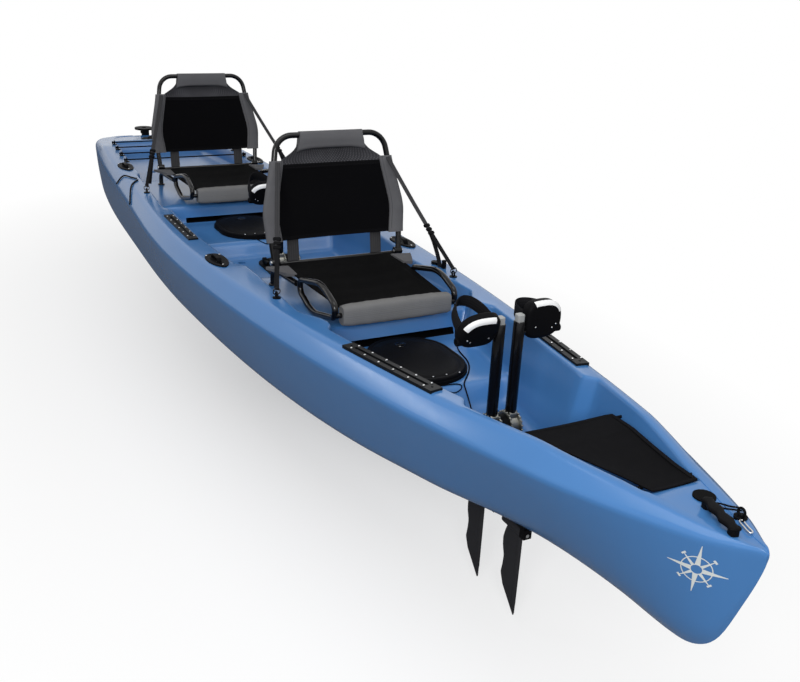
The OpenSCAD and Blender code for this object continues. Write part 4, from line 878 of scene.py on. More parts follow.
@dataclass
class HullLines:
    """The hull's lines, in millimetres: X forward from midship, Y to port, Z up from the keel.

    The curves run over shares of the half length, from -1 at the stern to 1 at the bow.
    """

    half_l: float = 2210.0
    beam: float = 860.0
    crease_h: float = 256.0
    shoulder_h: float = 51.0
    shoulder_w: float = 42.0
    wall_lean: float = 12.0
    front_seat: float = 444.0
    station_gap: float = 1436.0
    footwell_z: float = 150.0
    hatch_shelf_z: float = 205.0
    seat_shelf_z: float = 270.0
    shelf_aft: float = -118.0
    shelf_fore: float = 376.0
    shelf_drop: float = 24.0
    cargo_z: float = 230.0
    cargo_end: float = 1930.0
    bow_well_end: float = 1970.0
    drive_off: float = 976.0
    hatch_off: float = 546.0
    deck_dip: float = 2.0
    half_beam: ShapeCurve = ShapeCurve((
        (-1, 0.38), (-0.973, 0.61), (-0.905, 0.72), (-0.724, 0.82), (-0.452, 0.9), (-0.068, 1),
        (0.271, 0.905), (0.588, 0.675), (0.814, 0.42), (0.95, 0.167), (1, 0.012)))
    crease_rise: ShapeCurve = ShapeCurve(((-1, 10), (-0.54, -4), (0, 0), (0.54, 36), (0.81, 70), (1, 106)))
    keel: ShapeCurve = ShapeCurve((
        (-1, 130), (-0.985, 86), (-0.96, 52), (-0.9, 28), (-0.78, 10), (-0.58, 0), (0.36, 0), (0.615, 16),
        (0.769, 55), (0.86, 72), (0.93, 82), (0.955, 104), (0.973, 152), (0.99, 258), (1, 330)))
    chine_share: ShapeCurve = ShapeCurve((
        (-1, 0.9), (-0.86, 0.93), (-0.45, 0.9), (0, 0.82), (0.34, 0.77), (0.62, 0.64), (0.81, 0.43),
        (1, 0.4)))
    chine_rise: ShapeCurve = ShapeCurve((
        (-1, 30), (-0.96, 26), (-0.9, 20), (-0.45, 13), (0, 22), (0.34, 33), (0.5, 46), (0.62, 65),
        (0.81, 78), (0.93, 64), (0.973, 40), (1, 12)))
    shoulder_share: ShapeCurve = ShapeCurve(((-1, 0.5), (-0.5, 0.72), (0, 1), (1, 1)))

    def __post_init__(self) -> None:
        """Works out the floor's and the rim's runs along the boat."""
        front, rear = self.front_seat, self.front_seat - self.station_gap
        self.rear_seat = rear
        back, foot = self.shelf_aft, self.shelf_aft - self.shelf_drop
        self.floor_runs: List[Pair] = [
            (-self.cargo_end - 30, -1), (-self.cargo_end, self.cargo_z), (rear + foot, self.cargo_z),
            *self.station_floor(rear), (front + foot, self.footwell_z), *self.station_floor(front),
            (front + self.drive_off + 220, self.footwell_z), (self.bow_well_end - 20, self.footwell_z + 40),
            (self.bow_well_end + 10, -1)]
        self.rim_runs: List[Pair] = [
            (rear + foot, 76), (rear + back, 60), (rear + 484, 60), (rear + 526, 82), (front + foot, 82),
            (front + back, 106), (front, 98), (front + self.shelf_fore, 50), (front + 440, 78),
            (front + 484, 78), (front + 526, 48), (1512, 50), (1532, 22)]

    def station_floor(self, s: float) -> List[Pair]:
        """Returns the floor's runs of one paddler's station."""
        fore, seat, shelf = s + self.shelf_fore, self.seat_shelf_z, self.hatch_shelf_z
        return [(s + self.shelf_aft, seat), (fore, seat), (fore + 10, shelf), (s + 716, shelf),
                (s + 756, self.footwell_z)]

    def crease(self, x: float) -> Pair:
        """Returns the crease's half width and height at x."""
        t = x / self.half_l
        return self.beam / 2 * self.half_beam.at(t), self.crease_h + self.crease_rise.at(t)

    def keel_z(self, x: float) -> float:
        """Returns the keel's height at x."""
        return self.keel.at(x / self.half_l)

    def chine(self, x: float) -> Pair:
        """Returns the chine's half width and height at x."""
        t = x / self.half_l
        return self.crease(x)[0] * self.chine_share.at(t), self.keel_z(x) + self.chine_rise.at(t)

    def shoulder_y(self, x: float) -> float:
        """Returns the deck shoulder's half width at x."""
        y = self.crease(x)[0]
        return y - min(self.shoulder_w * self.shoulder_share.at(x / self.half_l), 0.3 * y)

    def deck_z(self, x: float) -> float:
        """Returns the deck's height at x."""
        taper = clamp((1.018 - abs(x) / self.half_l) / 0.226, 0.15, 1)
        return self.crease(x)[1] + self.shoulder_h * taper

    def deck_rise(self, x: float, run: float) -> float:
        """Returns how far the deck rises from a run behind x to a run ahead of it."""
        return self.deck_z(x + run) - self.deck_z(x - run)

    def floor_at(self, x: float) -> float:
        """Returns the sharp floor's height at x."""
        runs = self.floor_runs
        deck = self.deck_z(x) - self.deck_dip
        if x <= runs[0][0] or x >= runs[-1][0]:
            return deck
        return along_runs(x, [(m, deck if z < 0 else z) for m, z in runs])

    def floor_z(self, x: float, blend: float = 9.0) -> float:
        """Returns the floor's height at x, with its steps eased over a length."""
        return eased(self.floor_at, x, blend)

    def rim_y(self, x: float, blend: float = 14.0) -> float:
        """Returns the cockpit rim's half width at x, with its steps eased over a length."""
        y = self.shoulder_y(x)
        return y - min(eased(lambda at: along_runs(at, self.rim_runs), x, blend), 0.5 * y)

    def rim_mid(self, x: float) -> float:
        """Returns the half width of the middle of the flat rim at x."""
        return (self.shoulder_y(x) + self.rim_y(x)) / 2

    def half_section(self, x: float) -> List[Vector]:
        """Draws the section from the keel round the port side to the floor's middle.

        Args:
            x: the place along the boat.

        Returns:
            The points, with Y and Z as their two values.
        """
        yg, zg = self.crease(x)
        yc, zc = self.chine(x)
        zk = self.keel_z(x)
        ys, zs = self.shoulder_y(x), self.deck_z(x)
        yi, zf = self.rim_y(x), self.floor_z(x)
        d = zs - zf
        lean = math.tan(math.radians(self.wall_lean))
        edge = min(9, 0.4 * d, 0.2 * yi)
        fillet = min(24, 0.42 * d, 0.22 * yi)
        chine, crease = Vector((yc, zc)), Vector((yg, zg))
        bulge = mix(chine, crease, 0.55) + Vector((0.012 * yg, 0))
        flat = min(15, 0.06 * yg + 1)
        corners = [(Vector((0, zk)), 0, 0), (Vector((0.55 * yc, mix(zk, zc, 0.42))), 999, 6), (chine, 40, 6),
                   (bulge, 999, 3), (crease, 14, 5), (Vector((ys, zs)), flat, 5), (Vector((yi, zs)), edge, 4),
                   (Vector((yi - lean * d, zf)), fillet, 4), (Vector((0, zf)), 0, 0)]
        made = [corners[0][0]]
        for i in range(1, len(corners) - 1):
            c, r, steps = corners[i]
            a, b = corners[i - 1][0], corners[i + 1][0]
            la, lb = max((a - c).length, 1e-6), max((b - c).length, 1e-6)
            p = c + (a - c) * (min(r, la * 0.42) / la)
            q = c + (b - c) * (min(r, lb * 0.42) / lb)
            for k in range(steps + 1):
                s = k / steps
                made.append(p * (1 - s) ** 2 + c * (2 * s * (1 - s)) + q * s ** 2)
        return made + [corners[-1][0]]


@dataclass
class HullShell(Workshop):
    """The moulded hull: its skin with the drive wells, hatch pockets, scuppers and riser grooves cut through,
    the grooves' faces painted black as painted shade.
    """

    lines: HullLines
    step: float = 30.0
    end_round: float = 14.0
    edge_deg: float = 34.0
    well_l: float = 340.0
    well_w: float = 84.0
    pocket: Triple = (264.0, 204.0, 98.0)
    bucket_d: float = 132.0
    scupper_d: float = 40.0
    cart_x: float = -470.0
    cart_gap: float = 290.0
    drain_d: float = 28.0
    drain_x: float = 800.0
    drain_half: float = 112.0
    groove_x: float = 357.0
    groove_w: float = 420.0

    def stations(self) -> List[float]:
        """Returns the places of the sections, close together at each step of the floor or rim."""
        h = self.lines.half_l
        marks = {m for m, _ in self.lines.floor_runs} | {m for m, _ in self.lines.rim_runs}
        places = {m + k for m in marks for k in (-14, -7, 0, 7, 14)}
        places |= {s * (h - k) for s in (-1, 1) for k in (0, 1, 3, 6, 10, 14, *range(20, 190, 8))}
        ordered = sorted(p for p in places if -h <= p <= h)
        made = [ordered[0]]
        for p in ordered[1:]:
            gap = p - made[-1]
            if gap < 0.9:
                continue
            parts = max(1, math.ceil(gap / self.step))
            start = made[-1]
            made += [start + gap * k / parts for k in range(1, parts + 1)]
        return made

    def ring(self, x: float) -> List[Vector]:
        """Draws the whole section, drawn in where the hull's ends are rounded.

        Args:
            x: the place along the boat.

        Returns:
            The closed ring.
        """
        half = self.lines.half_section(x)
        near = self.lines.half_l - abs(x)
        pinch = 0.0
        if near < self.end_round:
            pinch = self.end_round - math.sqrt(max(0.0, self.end_round ** 2 - (self.end_round - near) ** 2))
        mid = (half[0].y + half[-1].y) / 2
        rise = max(half[-1].y - half[0].y, 1e-6) / 2
        made = []
        for p in half:
            y = max(p.x - pinch * min(1, p.x / 40), 0.0)
            z = p.y - pinch * 0.8 * clamp((p.y - mid) / rise, -1, 1)
            made.append(Vector((x, y, z)))
        return made + [Vector((p.x, -p.y, p.z)) for p in reversed(made[1:-1])]

    def drain(self, d: float, steps: int, high: float) -> Form:
        """Returns the cutter of a round hole through the bottom, up to a height."""
        return soft_prism(round_outline(d, d, d / 2 - 0.2, steps), -20, high, 1)

    def cutters(self) -> Form:
        """Returns the solids that are cut out of the hull."""
        lines = self.lines
        shelf = lines.hatch_shelf_z
        slot = soft_prism(round_outline(self.well_l, self.well_w, self.well_w / 2 - 0.5), -60, 300, 1)
        bucket = soft_prism(round_outline(*self.pocket), shelf - self.bucket_d, 300, 1)
        groove = soft_prism(round_outline(80, self.groove_w, 4), shelf + 1, shelf + 20, 3, 1)
        drain = self.drain(self.drain_d, 5, 190)
        scupper = self.drain(self.scupper_d, 6, 270)
        made = Form()
        for s in (lines.rear_seat, lines.front_seat):
            made.join(slot.moved(s + lines.drive_off, 0, 0))
            made.join(bucket.moved(s + lines.hatch_off, 0, 0))
            made.join(groove.moved(s + self.groove_x, 0, 0))
            for side, _ in SIDES:
                made.join(drain.moved(s + self.drain_x, side * self.drain_half, 0))
        for side, _ in SIDES:
            made.join(scupper.moved(lines.rear_seat + self.cart_x, side * self.cart_gap / 2, 0))
        return made

    def in_painted_shade_groove(self, p: Vector) -> bool:
        """Tells whether a point lies inside the groove at the foot of a seat's riser, whose faces are painted
        black as painted shade.
        """
        z = p.z - self.lines.hatch_shelf_z
        deep = any(s + 310 < p.x < s + 378 for s in (self.lines.front_seat, self.lines.rear_seat))
        return deep and 0.5 < z < 20.5 and abs(p.y) < self.groove_w / 2 + 1

    def build(self) -> bpy.types.Object:
        """Makes the skin, cuts it, paints its riser grooves black as painted shade, and seats it.

        Returns:
            The hull's skin.
        """
        skin = self.object("hull_skin", loft([self.ring(x) for x in self.stations()]), HULL_SKIN)
        tool = self.object("hull_cutters", self.cutters(), BLACK_MOULDING)
        cut = skin.modifiers.new("wells", "BOOLEAN")
        cut.operation = "DIFFERENCE"
        cut.solver = "EXACT"
        cut.object = tool
        mesh = applied_mesh(skin)
        skin.modifiers.clear()
        skin.data = mesh
        bpy.data.objects.remove(tool)
        mesh.materials.clear()
        mesh.materials.append(HULL_SKIN.material())
        # The black moulding slot paints the riser grooves' faces black: painted shade in the recess.
        mesh.materials.append(BLACK_MOULDING.material())
        for face in mesh.polygons:
            face.material_index = 1 if self.in_painted_shade_groove(face.center / MM) else 0
        mesh.shade_smooth()
        mesh.set_sharp_from_angle(angle=math.radians(self.edge_deg))
        self.seat(skin, "hull", "hull_blue", ["hull"])
        return skin


@dataclass
class CompassStar(Workshop):
    """A plain eight-pointed compass star printed on the starboard bow."""

    centre_x: float = 2116.0
    centre_z: float = 286.0
    long_ray: Pair = (54.0, 4.8)
    short_ray: Pair = (38.0, 2.8)
    foot_half: float = 4.5
    ring_r: float = 27.0
    ring_w: float = 1.8
    hub_r: float = 11.0
    lift: float = 0.6
    film: float = 0.3
    slant: float = 0.16
    turn_deg: float = 4.0

    def outline(self) -> Form:
        """Returns the star flat in its own plane: X along the hull, Y up."""
        made = Form()
        steps = 6
        for k in range(8):
            a = math.radians(45 * k + self.turn_deg)
            reach, wide = self.short_ray if k % 2 else self.long_ray
            way, side = polar(1, a), Vector((-math.sin(a), math.cos(a), 0))
            rows = []
            for i in range(steps + 1):
                r = mix(self.hub_r, reach, i / steps)
                w = wide * (1 - i / steps) * 0.92 + 0.5
                rows.append((way * r - side * w, way * r + side * w))
            for (a0, a1), (b0, b1) in zip(rows, rows[1:]):
                made.quad(a0, b0, b1, a1)
            if k % 2:
                w = self.foot_half
                ends = ((reach - 1, -w), (reach + 3, -w), (reach + 3, w), (reach - 1, w))
                made.quad(*(way * along + side * across for along, across in ends))
        steps = 48
        for low, wide in ((self.ring_r, self.ring_w), (self.hub_r - 1, self.ring_w)):
            for i in range(steps):
                ends = ((i, low), (i, low + wide), (i + 1, low + wide), (i + 1, low))
                made.quad(*(polar(r, 2 * math.pi * k / steps) for k, r in ends))
        return made

    def build(self, skin: bpy.types.Object) -> None:
        """Lays the star on the hull's side and seats it.

        Args:
            skin: the hull's skin.
        """
        tree = BVHTree.FromObject(skin, bpy.context.evaluated_depsgraph_get())
        flat = self.outline()
        hit, normal, _, _ = tree.ray_cast(Vector((self.centre_x, -900, self.centre_z)) * MM, PORT)
        up = (UP - normal * normal.z).normalized()
        ahead = normal.cross(up) * -1
        laid = Form([], flat.faces, flat.corners)
        for p in flat.points:
            start = hit + (ahead * (p.x + self.slant * p.y) + up * p.y) * MM + normal * 0.12
            spot, _, _, _ = tree.ray_cast(start, -normal)
            laid.points.append((spot + normal * (self.lift * MM)) / MM)
        made = self.object("compass_star", laid, SILVER_PRINT, tidy=False)
        wall = made.modifiers.new("film", "SOLIDIFY")
        wall.thickness = self.film * MM
        wall.offset = 0
        mesh = applied_mesh(made)
        made.modifiers.clear()
        made.data = mesh
        mesh.shade_flat()
        self.seat(made, "hull", "badge_metal")


@dataclass
class DeckGear(Workshop):
    """Handles, tracks, mesh cover and cords on the deck."""

    lines: HullLines
    sink: float = 3.0
    track_l: float = 350.0
    track_t: float = 9.0
    bolt_in: float = 16.0
    screw_rows: float = 11.5
    screw_count: int = 6
    cord_d: float = 6.0
    eye_h: float = 13.5
    eye_in: float = 16.0
    plate_w: float = 64.0
    side_plate_l: float = 124.0
    stern_plate_l: float = 134.0
    nose: float = 30.0
    grip_l: float = 104.0
    grip_turn: float = -0.5
    mesh_l: float = 310.0
    hem_half: float = 5.0
    stitch_gap: float = 7.0
    cargo_cord_count: int = 4
    cargo_first: float = -372.0
    cargo_gap: float = 140.0

    def track_end(self, s: float, side: int, end: float) -> Vector:
        """Finds a track's end on the rim.

        Args:
            s: the seat's place.
            side: -1 to starboard, 1 to port.
            end: 0 for its rear, 1 for its front.

        Returns:
            The end.
        """
        front = s == self.lines.front_seat
        x = s + (664 if front else 622) + end * self.track_l * 0.985
        y = self.lines.shoulder_y(x) - 20 if front else self.lines.rim_mid(x) - 8
        return Vector((x, side * y, self.lines.deck_z(x) - self.sink))

    def screws(self) -> None:
        """Sets the domed screws of the four tracks."""
        spots = []
        pitch = (self.track_l - 4 * self.bolt_in) / (self.screw_count - 1)
        for s in (self.lines.rear_seat, self.lines.front_seat):
            for side, _ in SIDES:
                a, b = self.track_end(s, side, 0), self.track_end(s, side, 1)
                at = frame_at(a, b - a)
                for i in range(self.screw_count):
                    for y in (-self.screw_rows, self.screw_rows):
                        spots.append(spot_on(at, 2 * self.bolt_in + i * pitch, y, self.track_t + 0.9))
        self.row("track_screw_heads", RowShape.SCREW, spots, (6.4, 6.4, 1.8), STAINLESS, "hull", "steel",
                 ["track_screws"])

    def rim_frame(self, x: float, y: float, run: float = 40.0) -> Matrix:
        """Returns a frame on the deck at x and y, pitched with the rim and sunk in its pocket."""
        origin = Vector((x, y, self.lines.deck_z(x) - self.sink))
        return frame_at(origin, Vector((2 * run, 0, self.lines.deck_rise(x, run))))

    def leaf(self, l: float) -> List[Vector]:
        """Returns a handle plate's outline: an oval drawn to a blunt point at its front end."""
        made = []
        for a in around(48):
            fore = math.cos(a) > 0
            c, d = squared(a, 0.9, 1.25 if fore else 0.8)
            reach = l / 2 + (self.nose if fore else 0)
            made.append(Vector((c * reach, d * self.plate_w / 2, 0)))
        return made

    def handle(self, l: float) -> Form:
        """Returns a carry handle: a dished leaf plate with a low bowed grip across it."""
        dish = ((0, 0), (0, 5.6), (0.6, 7.2), (2.2, 8), (6, 8.2), (9, 7.8), (13, 5.8), (18, 4.8))
        arch = ((-33, 3), (-31, 10), (-24, 14.5), (0, 16), (24, 14.5), (31, 10), (33, 3))
        grip = strap(smooth_path([Vector((x, 0, z)) for x, z in arch], 5), 15, 5.5)
        return stacked(self.leaf(l), dish).join(grip)

    def handles(self) -> None:
        """Makes the four side handles and the stern handle, with the plates' screws."""
        made = Form()
        spots = []
        for x in (self.lines.front_seat - 206, self.lines.rear_seat - 280):
            for side, _ in SIDES:
                at = self.rim_frame(x, side * self.lines.rim_mid(x))
                made.join(self.handle(self.side_plate_l).placed(at))
                spots += [spot_on(at, px, py, 8.4) for px, py in ((74, 0), (-38, 22), (-38, -22))]
        self.piece("side_handle_set", made, BLACK_MOULDING, "hull", "black_plastic", ["side_handles"])
        x = -self.lines.half_l + 190
        z = self.lines.deck_z(x) - self.lines.deck_dip - self.sink
        stern = self.handle(self.stern_plate_l).placed(Matrix.Translation((x, 0, z)) @ spin(90, "Z"))
        self.piece("stern_handle_grip", stern, BLACK_MOULDING, "hull", "black_plastic", ["stern_handle"])
        self.row("handle_screws", RowShape.SCREW, spots, (7, 7, 1.8), STAINLESS, "hull", "steel")

    def bow_grip(self) -> None:
        """Makes the bow handle: a waved grip on two feet."""
        outline = []
        for side in (1, -1):
            for i in range(25) if side > 0 else range(24, -1, -1):
                s = i / 12 - 1
                half = 13.5 - 4.2 * (0.5 - 0.5 * math.cos(6 * math.pi * (s + 1) / 2))
                half *= math.sqrt(max(0.02, 1 - max(0.0, (abs(s) - 0.82) / 0.18) ** 2))
                outline.append(Vector((-s * self.grip_l / 2, side * half, 0)))
        made = soft_prism(outline, 13, 21, 3.4, 2.4)
        foot = soft_prism(round_outline(18, 17, 6), 0, 15, 0.5)
        for end in (-42.5, 42.5):
            made.join(foot.moved(end, 0, 0))
        x, run = self.lines.half_l - 104, 30.0
        way = Vector((2 * run, self.grip_turn * run, self.lines.deck_rise(x, run)))
        at = frame_at(Vector((x, -7, self.lines.deck_z(x) - 5)), way)
        self.piece("bow_handle_grip", made.placed(at), BLACK_MOULDING, "hull", "black_plastic",
                   ["bow_handle"])

    def bow_clip(self) -> None:
        """Makes the cord loop and the steel clip on the port bow padeye."""

        def over_deck(route: Sequence[Triple]) -> List[Vector]:
            """Returns the points of a route whose heights are over the bow deck."""
            dip = self.lines.deck_dip
            return [Vector((x, y, self.lines.deck_z(x) - dip + up)) for x, y, up in route]

        loop = over_deck(((2113, 36, 14), (2102, 28, 12), (2088, 20, 8), (2074, 17, 4.5), (2065, 25, 4),
                          (2073, 33, 4.5), (2088, 36, 8), (2102, 37, 14), (2116, 37, 17.5), (2126, 31, 11),
                          (2129, 23, 5)))
        wire = over_deck(((2126, 26, 5), (2126, 19, 5), (2142, 13, 5), (2158, 9, 5), (2158, 16, 5),
                          (2142, 21, 5)))
        ring = tube(smooth_path(wire, 6, looped=True), 3.4, 12, looped=True)
        clip = self.piece("bow_clip_ring", ring, STAINLESS, "hull", "steel")
        self.cord("bow_clip_cord", smooth_path(loop, 4), 3.2, "fitting", lay="loose", with_pieces=[clip])

    def mesh_point(self, f: float, g: float) -> Vector:
        """Returns a point of the bow mesh: f from its back edge to its front, g from side to side."""
        x = mix(self.lines.bow_well_end - self.mesh_l, self.lines.bow_well_end + 20, f)
        z = self.lines.deck_z(x) - mix(30, -2, f) - 7 * (0.25 + 3 * f * (1 - f)) * (1 - g ** 2) - 1.5
        pull = 4 * math.sin(math.pi * f) * abs(g) ** 6
        return Vector((x, g * (self.lines.rim_y(x) - mix(30, 8, f) - pull), z))

    def mesh_cover(self) -> None:
        """Makes the mesh cover with its hem and the hem's stitches."""
        cloth = sheet(lambda u, v: self.mesh_point(v, 2 * u - 1), 40, 28, 2.0, (200, 330))
        made = self.piece("bow_mesh_sheet", cloth, BOW_MESH, "hull", "mesh", ["bow_mesh_cover"])
        rail, end = [f / 20 for f in range(21)], [g / 8 for g in range(-7, 8)]
        edge = [self.mesh_point(f, -1) for f in rail] + [self.mesh_point(1, g) for g in end]
        edge += [self.mesh_point(1 - f, 1) for f in rail] + [self.mesh_point(0, -g) for g in end]
        middle = sum(edge, Vector()) / len(edge)
        inner = [p + (middle - p).normalized() * 5 + Vector((0, 0, 0.6)) for p in edge]
        half = self.hem_half
        section = ((-half, -1.4), (half, -1.4), (half, 1.4), (-half, 1.4))
        rings = []
        for p, way in zip(inner, directions(inner, looped=True)):
            side = way.cross(UP).normalized()
            rings.append([p + side * a + Vector((0, 0, b)) for a, b in section])
        hem = loft(rings, True, path_lengths(inner), 40)
        tape = self.piece("bow_mesh_hem", hem, HEM_TAPE, "hull", "mesh")
        spots = []
        for a, b in zip(inner, inner[1:] + inner[:1]):
            count = max(1, round((b - a).length / self.stitch_gap))
            for k in range(count):
                spots.append((mix(a, b, k / count) + Vector((0, 0, 1.6)), UP, (b - a).normalized()))
        self.row("bow_mesh_stitches", RowShape.STITCH, spots, (4.4, 1.0, 0.8), THREAD, "hull", "mesh")

    def cargo_cords(self) -> None:
        """Makes the shock cords across the cargo well, with their end knots."""
        ball = spun([(0.5, 0), (4.6, 1), (6.3, 4), (5.6, 7.5), (3, 9), (0.5, 9.4)], 16)
        for i in range(self.cargo_cord_count):
            x = self.lines.rear_seat + self.cargo_first - i * self.cargo_gap
            y = self.lines.rim_y(x) + self.eye_in + 3.8
            z = self.lines.deck_z(x) - self.sink + self.eye_h
            path = [Vector((x, mix(-y, y, k / 24), z)) for k in range(25)]
            knots = Form()
            for side, _ in SIDES:
                knots.join(ball.placed(frame_at(Vector((x, side * y, z)), AHEAD, Vector((0, side, 0)))))
            ends = self.piece(f"cargo_knots_{i}", knots, SHOCK_CORD, "hull", "cord")
            self.cord(f"cargo_cord_{i}", path, self.cord_d, "object", ["cargo_bungees"], with_pieces=[ends])

    def deck_side(self, x: float, f: float, up: float) -> Vector:
        """Returns a point over the starboard deck side.

        Args:
            x: the place along the boat.
            f: the place across, from the crease (0) over the shoulder (1) to the rim (2).
            up: the height over the surface.

        Returns:
            The point.
        """
        yg, zg = self.lines.crease(x)
        ys, zs = self.lines.shoulder_y(x), self.lines.deck_z(x)
        w, h = yg - ys, zs - zg
        s = clamp((1.15 - f) / 0.3, 0, 1)
        n = Vector((h * s, mix(math.hypot(w, h), w, s))).normalized()
        y, z = (mix(yg, ys, f), mix(zg, zs, f)) if f <= 1 else (mix(ys, self.lines.rim_y(x), f - 1), zs)
        return Vector((x, -y - n.x * up, z + n.y * up))

    def keeper_cords(self) -> None:
        """Makes the paddle keeper's two cords on the starboard deck side."""
        runs = (((-16, 1.7), (-44, 1.4), (-84, 1.1), (-104, 0.85), (-122, 0.5), (-130, 0.15)),
                ((10, 1.7), (40, 1.4), (84, 1.1), (122, 0.85), (174, 0.5), (238, 0.15)))
        for i, run in enumerate(runs):
            points = [self.deck_side(self.lines.rear_seat + x, f, self.cord_d / 2 + 0.5) for x, f in run]
            self.cord(f"keeper_cord_{i}", smooth_path(points, 5), self.cord_d, "object", ["paddle_bungee"])

    def build(self) -> None:
        """Makes all the deck gear."""
        self.screws()
        self.handles()
        self.bow_grip()
        self.bow_clip()
        self.mesh_cover()
        self.cargo_cords()
        self.keeper_cords()


@dataclass
class Seat(Workshop):
    """One framed seat: tube loops, a stretched pan, and a back that leans on its hinge."""

    lines: HullLines
    word: str
    s: float
    tube_d: float = 18.0
    hinge_x: float = 4.0
    hinge_y: float = 213.0
    hinge_z: float = 352.0
    eye_w: float = 19.0
    lug_t: float = 6.0
    lug_r: float = 12.5
    lean_deg: float = 12.0
    back_h: float = 380.0
    back_bow: float = 22.0
    loop_half: float = 188.0
    leg_x: float = -28.0
    leg_y: float = 206.0
    bar_x: float = 418.0
    roll_half: float = 169.0
    roll_z: float = 320.0
    strap_x: float = 235.0
    strap_w: float = 14.0
    stay_y: float = 142.0
    stay_w: float = 38.0

    def __post_init__(self) -> None:
        """Works out the back's body and its leaned frame: X ahead, Y to port, Z up from its hinge."""
        self.body = f"{self.word}_back"
        origin = Matrix.Translation((self.s + self.hinge_x, 0, self.hinge_z))
        self.back = origin @ spin(-self.lean_deg, "Y")

    def frame_tubes(self) -> None:
        """Makes the seat's tube loops, legs, bars, feet and hinge lugs."""
        made = Form()
        s, low = self.s, self.lines.seat_shelf_z
        corners = ((100, 330), (320, 384), (478, 330), (250, 273))
        foot = spun([(9, 0), (14, 0), (14, 4), (11, 6), (9, 6)], 24)
        outline = [polar(self.lug_r, math.radians(t)) for t in range(-20, 200, 20)]
        lug = soft_prism(outline + [Vector((-38, -30, 0)), Vector((4, -30, 0))], 0, self.lug_t, 0.8, 0.8)
        lug_y = self.hinge_y - self.eye_w / 2 - 0.5 - self.lug_t / 2
        for side, _ in SIDES:
            loop = [Vector((s + x, side * self.loop_half, z)) for x, z in corners]
            made.join(tube(bent_loop(loop, (24, 150, 24, 150)), self.tube_d, 18, looped=True))
            x, y = s + self.leg_x, side * self.leg_y
            knee = Vector((x, y, 325))
            leg = [Vector((x, y, low + 2)), knee, Vector((s + 130, side * self.loop_half, 323))]
            made.join(tube(bent_line(leg, (0, 30, 0)), self.tube_d, 18))
            made.join(foot.moved(x, y, low))
            at = Matrix.Translation((s + self.hinge_x, side * lug_y + self.lug_t / 2, self.hinge_z))
            made.join(lug.placed(at @ spin(90, "X")))
        for x, half, z, d in ((self.bar_x, self.loop_half, 321, 15), (-7, 200, 343, 13)):
            made.join(tube([Vector((s + x, mix(-half, half, k / 6), z)) for k in range(7)], d, 16))
        self.piece(f"{self.word}_seat_tubes", made, TUBE_COAT, "hull", "black_tube",
                   [f"{self.word}_seat_frame"])

    def pan_point(self, u: float, v: float) -> Vector:
        """Returns a point of the pan: u from side to side, v from its back edge to its front."""
        g = 2 * u - 1
        half = mix(196, 166, v)
        dip = 16 * (0.1 + math.sin(math.pi * v)) * (1 - g ** 2)
        fold = 1.1 * math.sin(9 * math.pi * v) * (1 - g ** 4) + 0.8 * math.sin(5 * math.pi * g + 4 * v)
        return Vector((self.s + mix(-16, 392, v), g * half, mix(347, 338, v) - 2.5 - dip + fold * 0.6))

    def pan(self) -> None:
        """Makes the stretched pan."""
        made = self.piece(f"{self.word}_seat_pan_cloth", sheet(self.pan_point, 36, 32, 4.0, (380, 410)),
                          PAN_CLOTH, "hull", "black_fabric", [f"{self.word}_seat_pan"])

    def front_roll(self) -> None:
        """Makes the padded roll round the front bar, a little puckered and drawn in at its ends."""
        rings = []
        lengths = []
        for i in range(41):
            g = i / 20 - 1
            k = 1 - 0.05 * g ** 2 - 0.1 * abs(g) ** 16
            pucker = 0.35 * math.sin(21 * g) + 0.25 * math.sin(47 * g + 1)
            y = g * self.roll_half
            ring = []
            for a in around(28):
                c, d = squared(a, 0.5, 0.5)
                x, z = self.s + self.bar_x + (20 * k + pucker) * c, self.roll_z + (31 * k + pucker) * d
                ring.append(Vector((x, y, z)))
            rings.append(ring)
            lengths.append(y)
        made = self.piece(f"{self.word}_front_roll", loft(rings, False, lengths, 150), ROLL_CLOTH, "hull",
                          "grey_fabric", [f"{self.word}_seat_trim"], sharp=60)

    def corner_pads(self) -> None:
        """Makes the grey pads at the pan's back corners."""
        for side, name in SIDES:
            def pad(u: float, v: float, side: int = side) -> Vector:
                """Returns a point of a corner pad's middle surface."""
                y0, y1 = mix(176, 180, v), mix(248, 212, v)
                z = 345 - 4 * u + 3.2 * math.sin(math.pi * u) * math.sin(math.pi * v)
                return Vector((self.s + mix(24, 108, v), side * mix(y0, y1, u if side > 0 else 1 - u), z))

            made = self.piece(f"{self.word}_{name}_corner_pad", sheet(pad, 14, 12, 9, (70, 84)), GREY_CLOTH,
                              "hull", "grey_fabric", sharp=70)

    def pan_seams(self) -> None:
        """Makes the stitches along the pan's two sides."""
        spots = []
        for i in range(58):
            v = 0.04 + 0.92 * i / 57
            spots += [(self.pan_point(u, v) + Vector((0, 0, 2.4)), UP, AHEAD) for u in (0.06, 0.94)]
        self.row(f"{self.word}_pan_stitches", RowShape.STITCH, spots, (4.6, 1.0, 0.8), THREAD, "hull",
                 "black_fabric")

    def back_tube(self) -> None:
        """Makes the back's bent tube with its hinge eyes."""
        half = ((self.hinge_y, 9), (224, 150), (190, 304), (178, self.back_h))
        points = [Vector((0, -y, z)) for y, z in half] + [Vector((0, y, z)) for y, z in reversed(half)]
        made = tube(bent_line(points, (0, 160, 200, 58, 58, 200, 160, 0)), self.tube_d, 18)
        w, r, bore = self.eye_w, self.lug_r, 4.1
        eye = spun([(bore, 0), (r - 0.7, 0), (r, 0.7), (r, w - 0.7), (r - 0.7, w), (bore, w), (bore, 0)], 32)
        for side, _ in SIDES:
            made.join(eye.placed(Matrix.Translation((0, side * self.hinge_y + w / 2, 0)) @ spin(90, "X")))
        self.piece(f"{self.word}_back_tube", made.placed(self.back), TUBE_COAT, self.body, "black_tube",
                   [f"{self.word}_back_frame"])

    def panel_half(self, h: float) -> float:
        """Returns the half width of the back's cloth at a height up the back."""
        marks = ((64, 198), (150, 207), (220, 196), (304, 172), (318, 148), (332, 126), (356, 106))
        return eased(lambda at: along_runs(at, marks), h, 6)

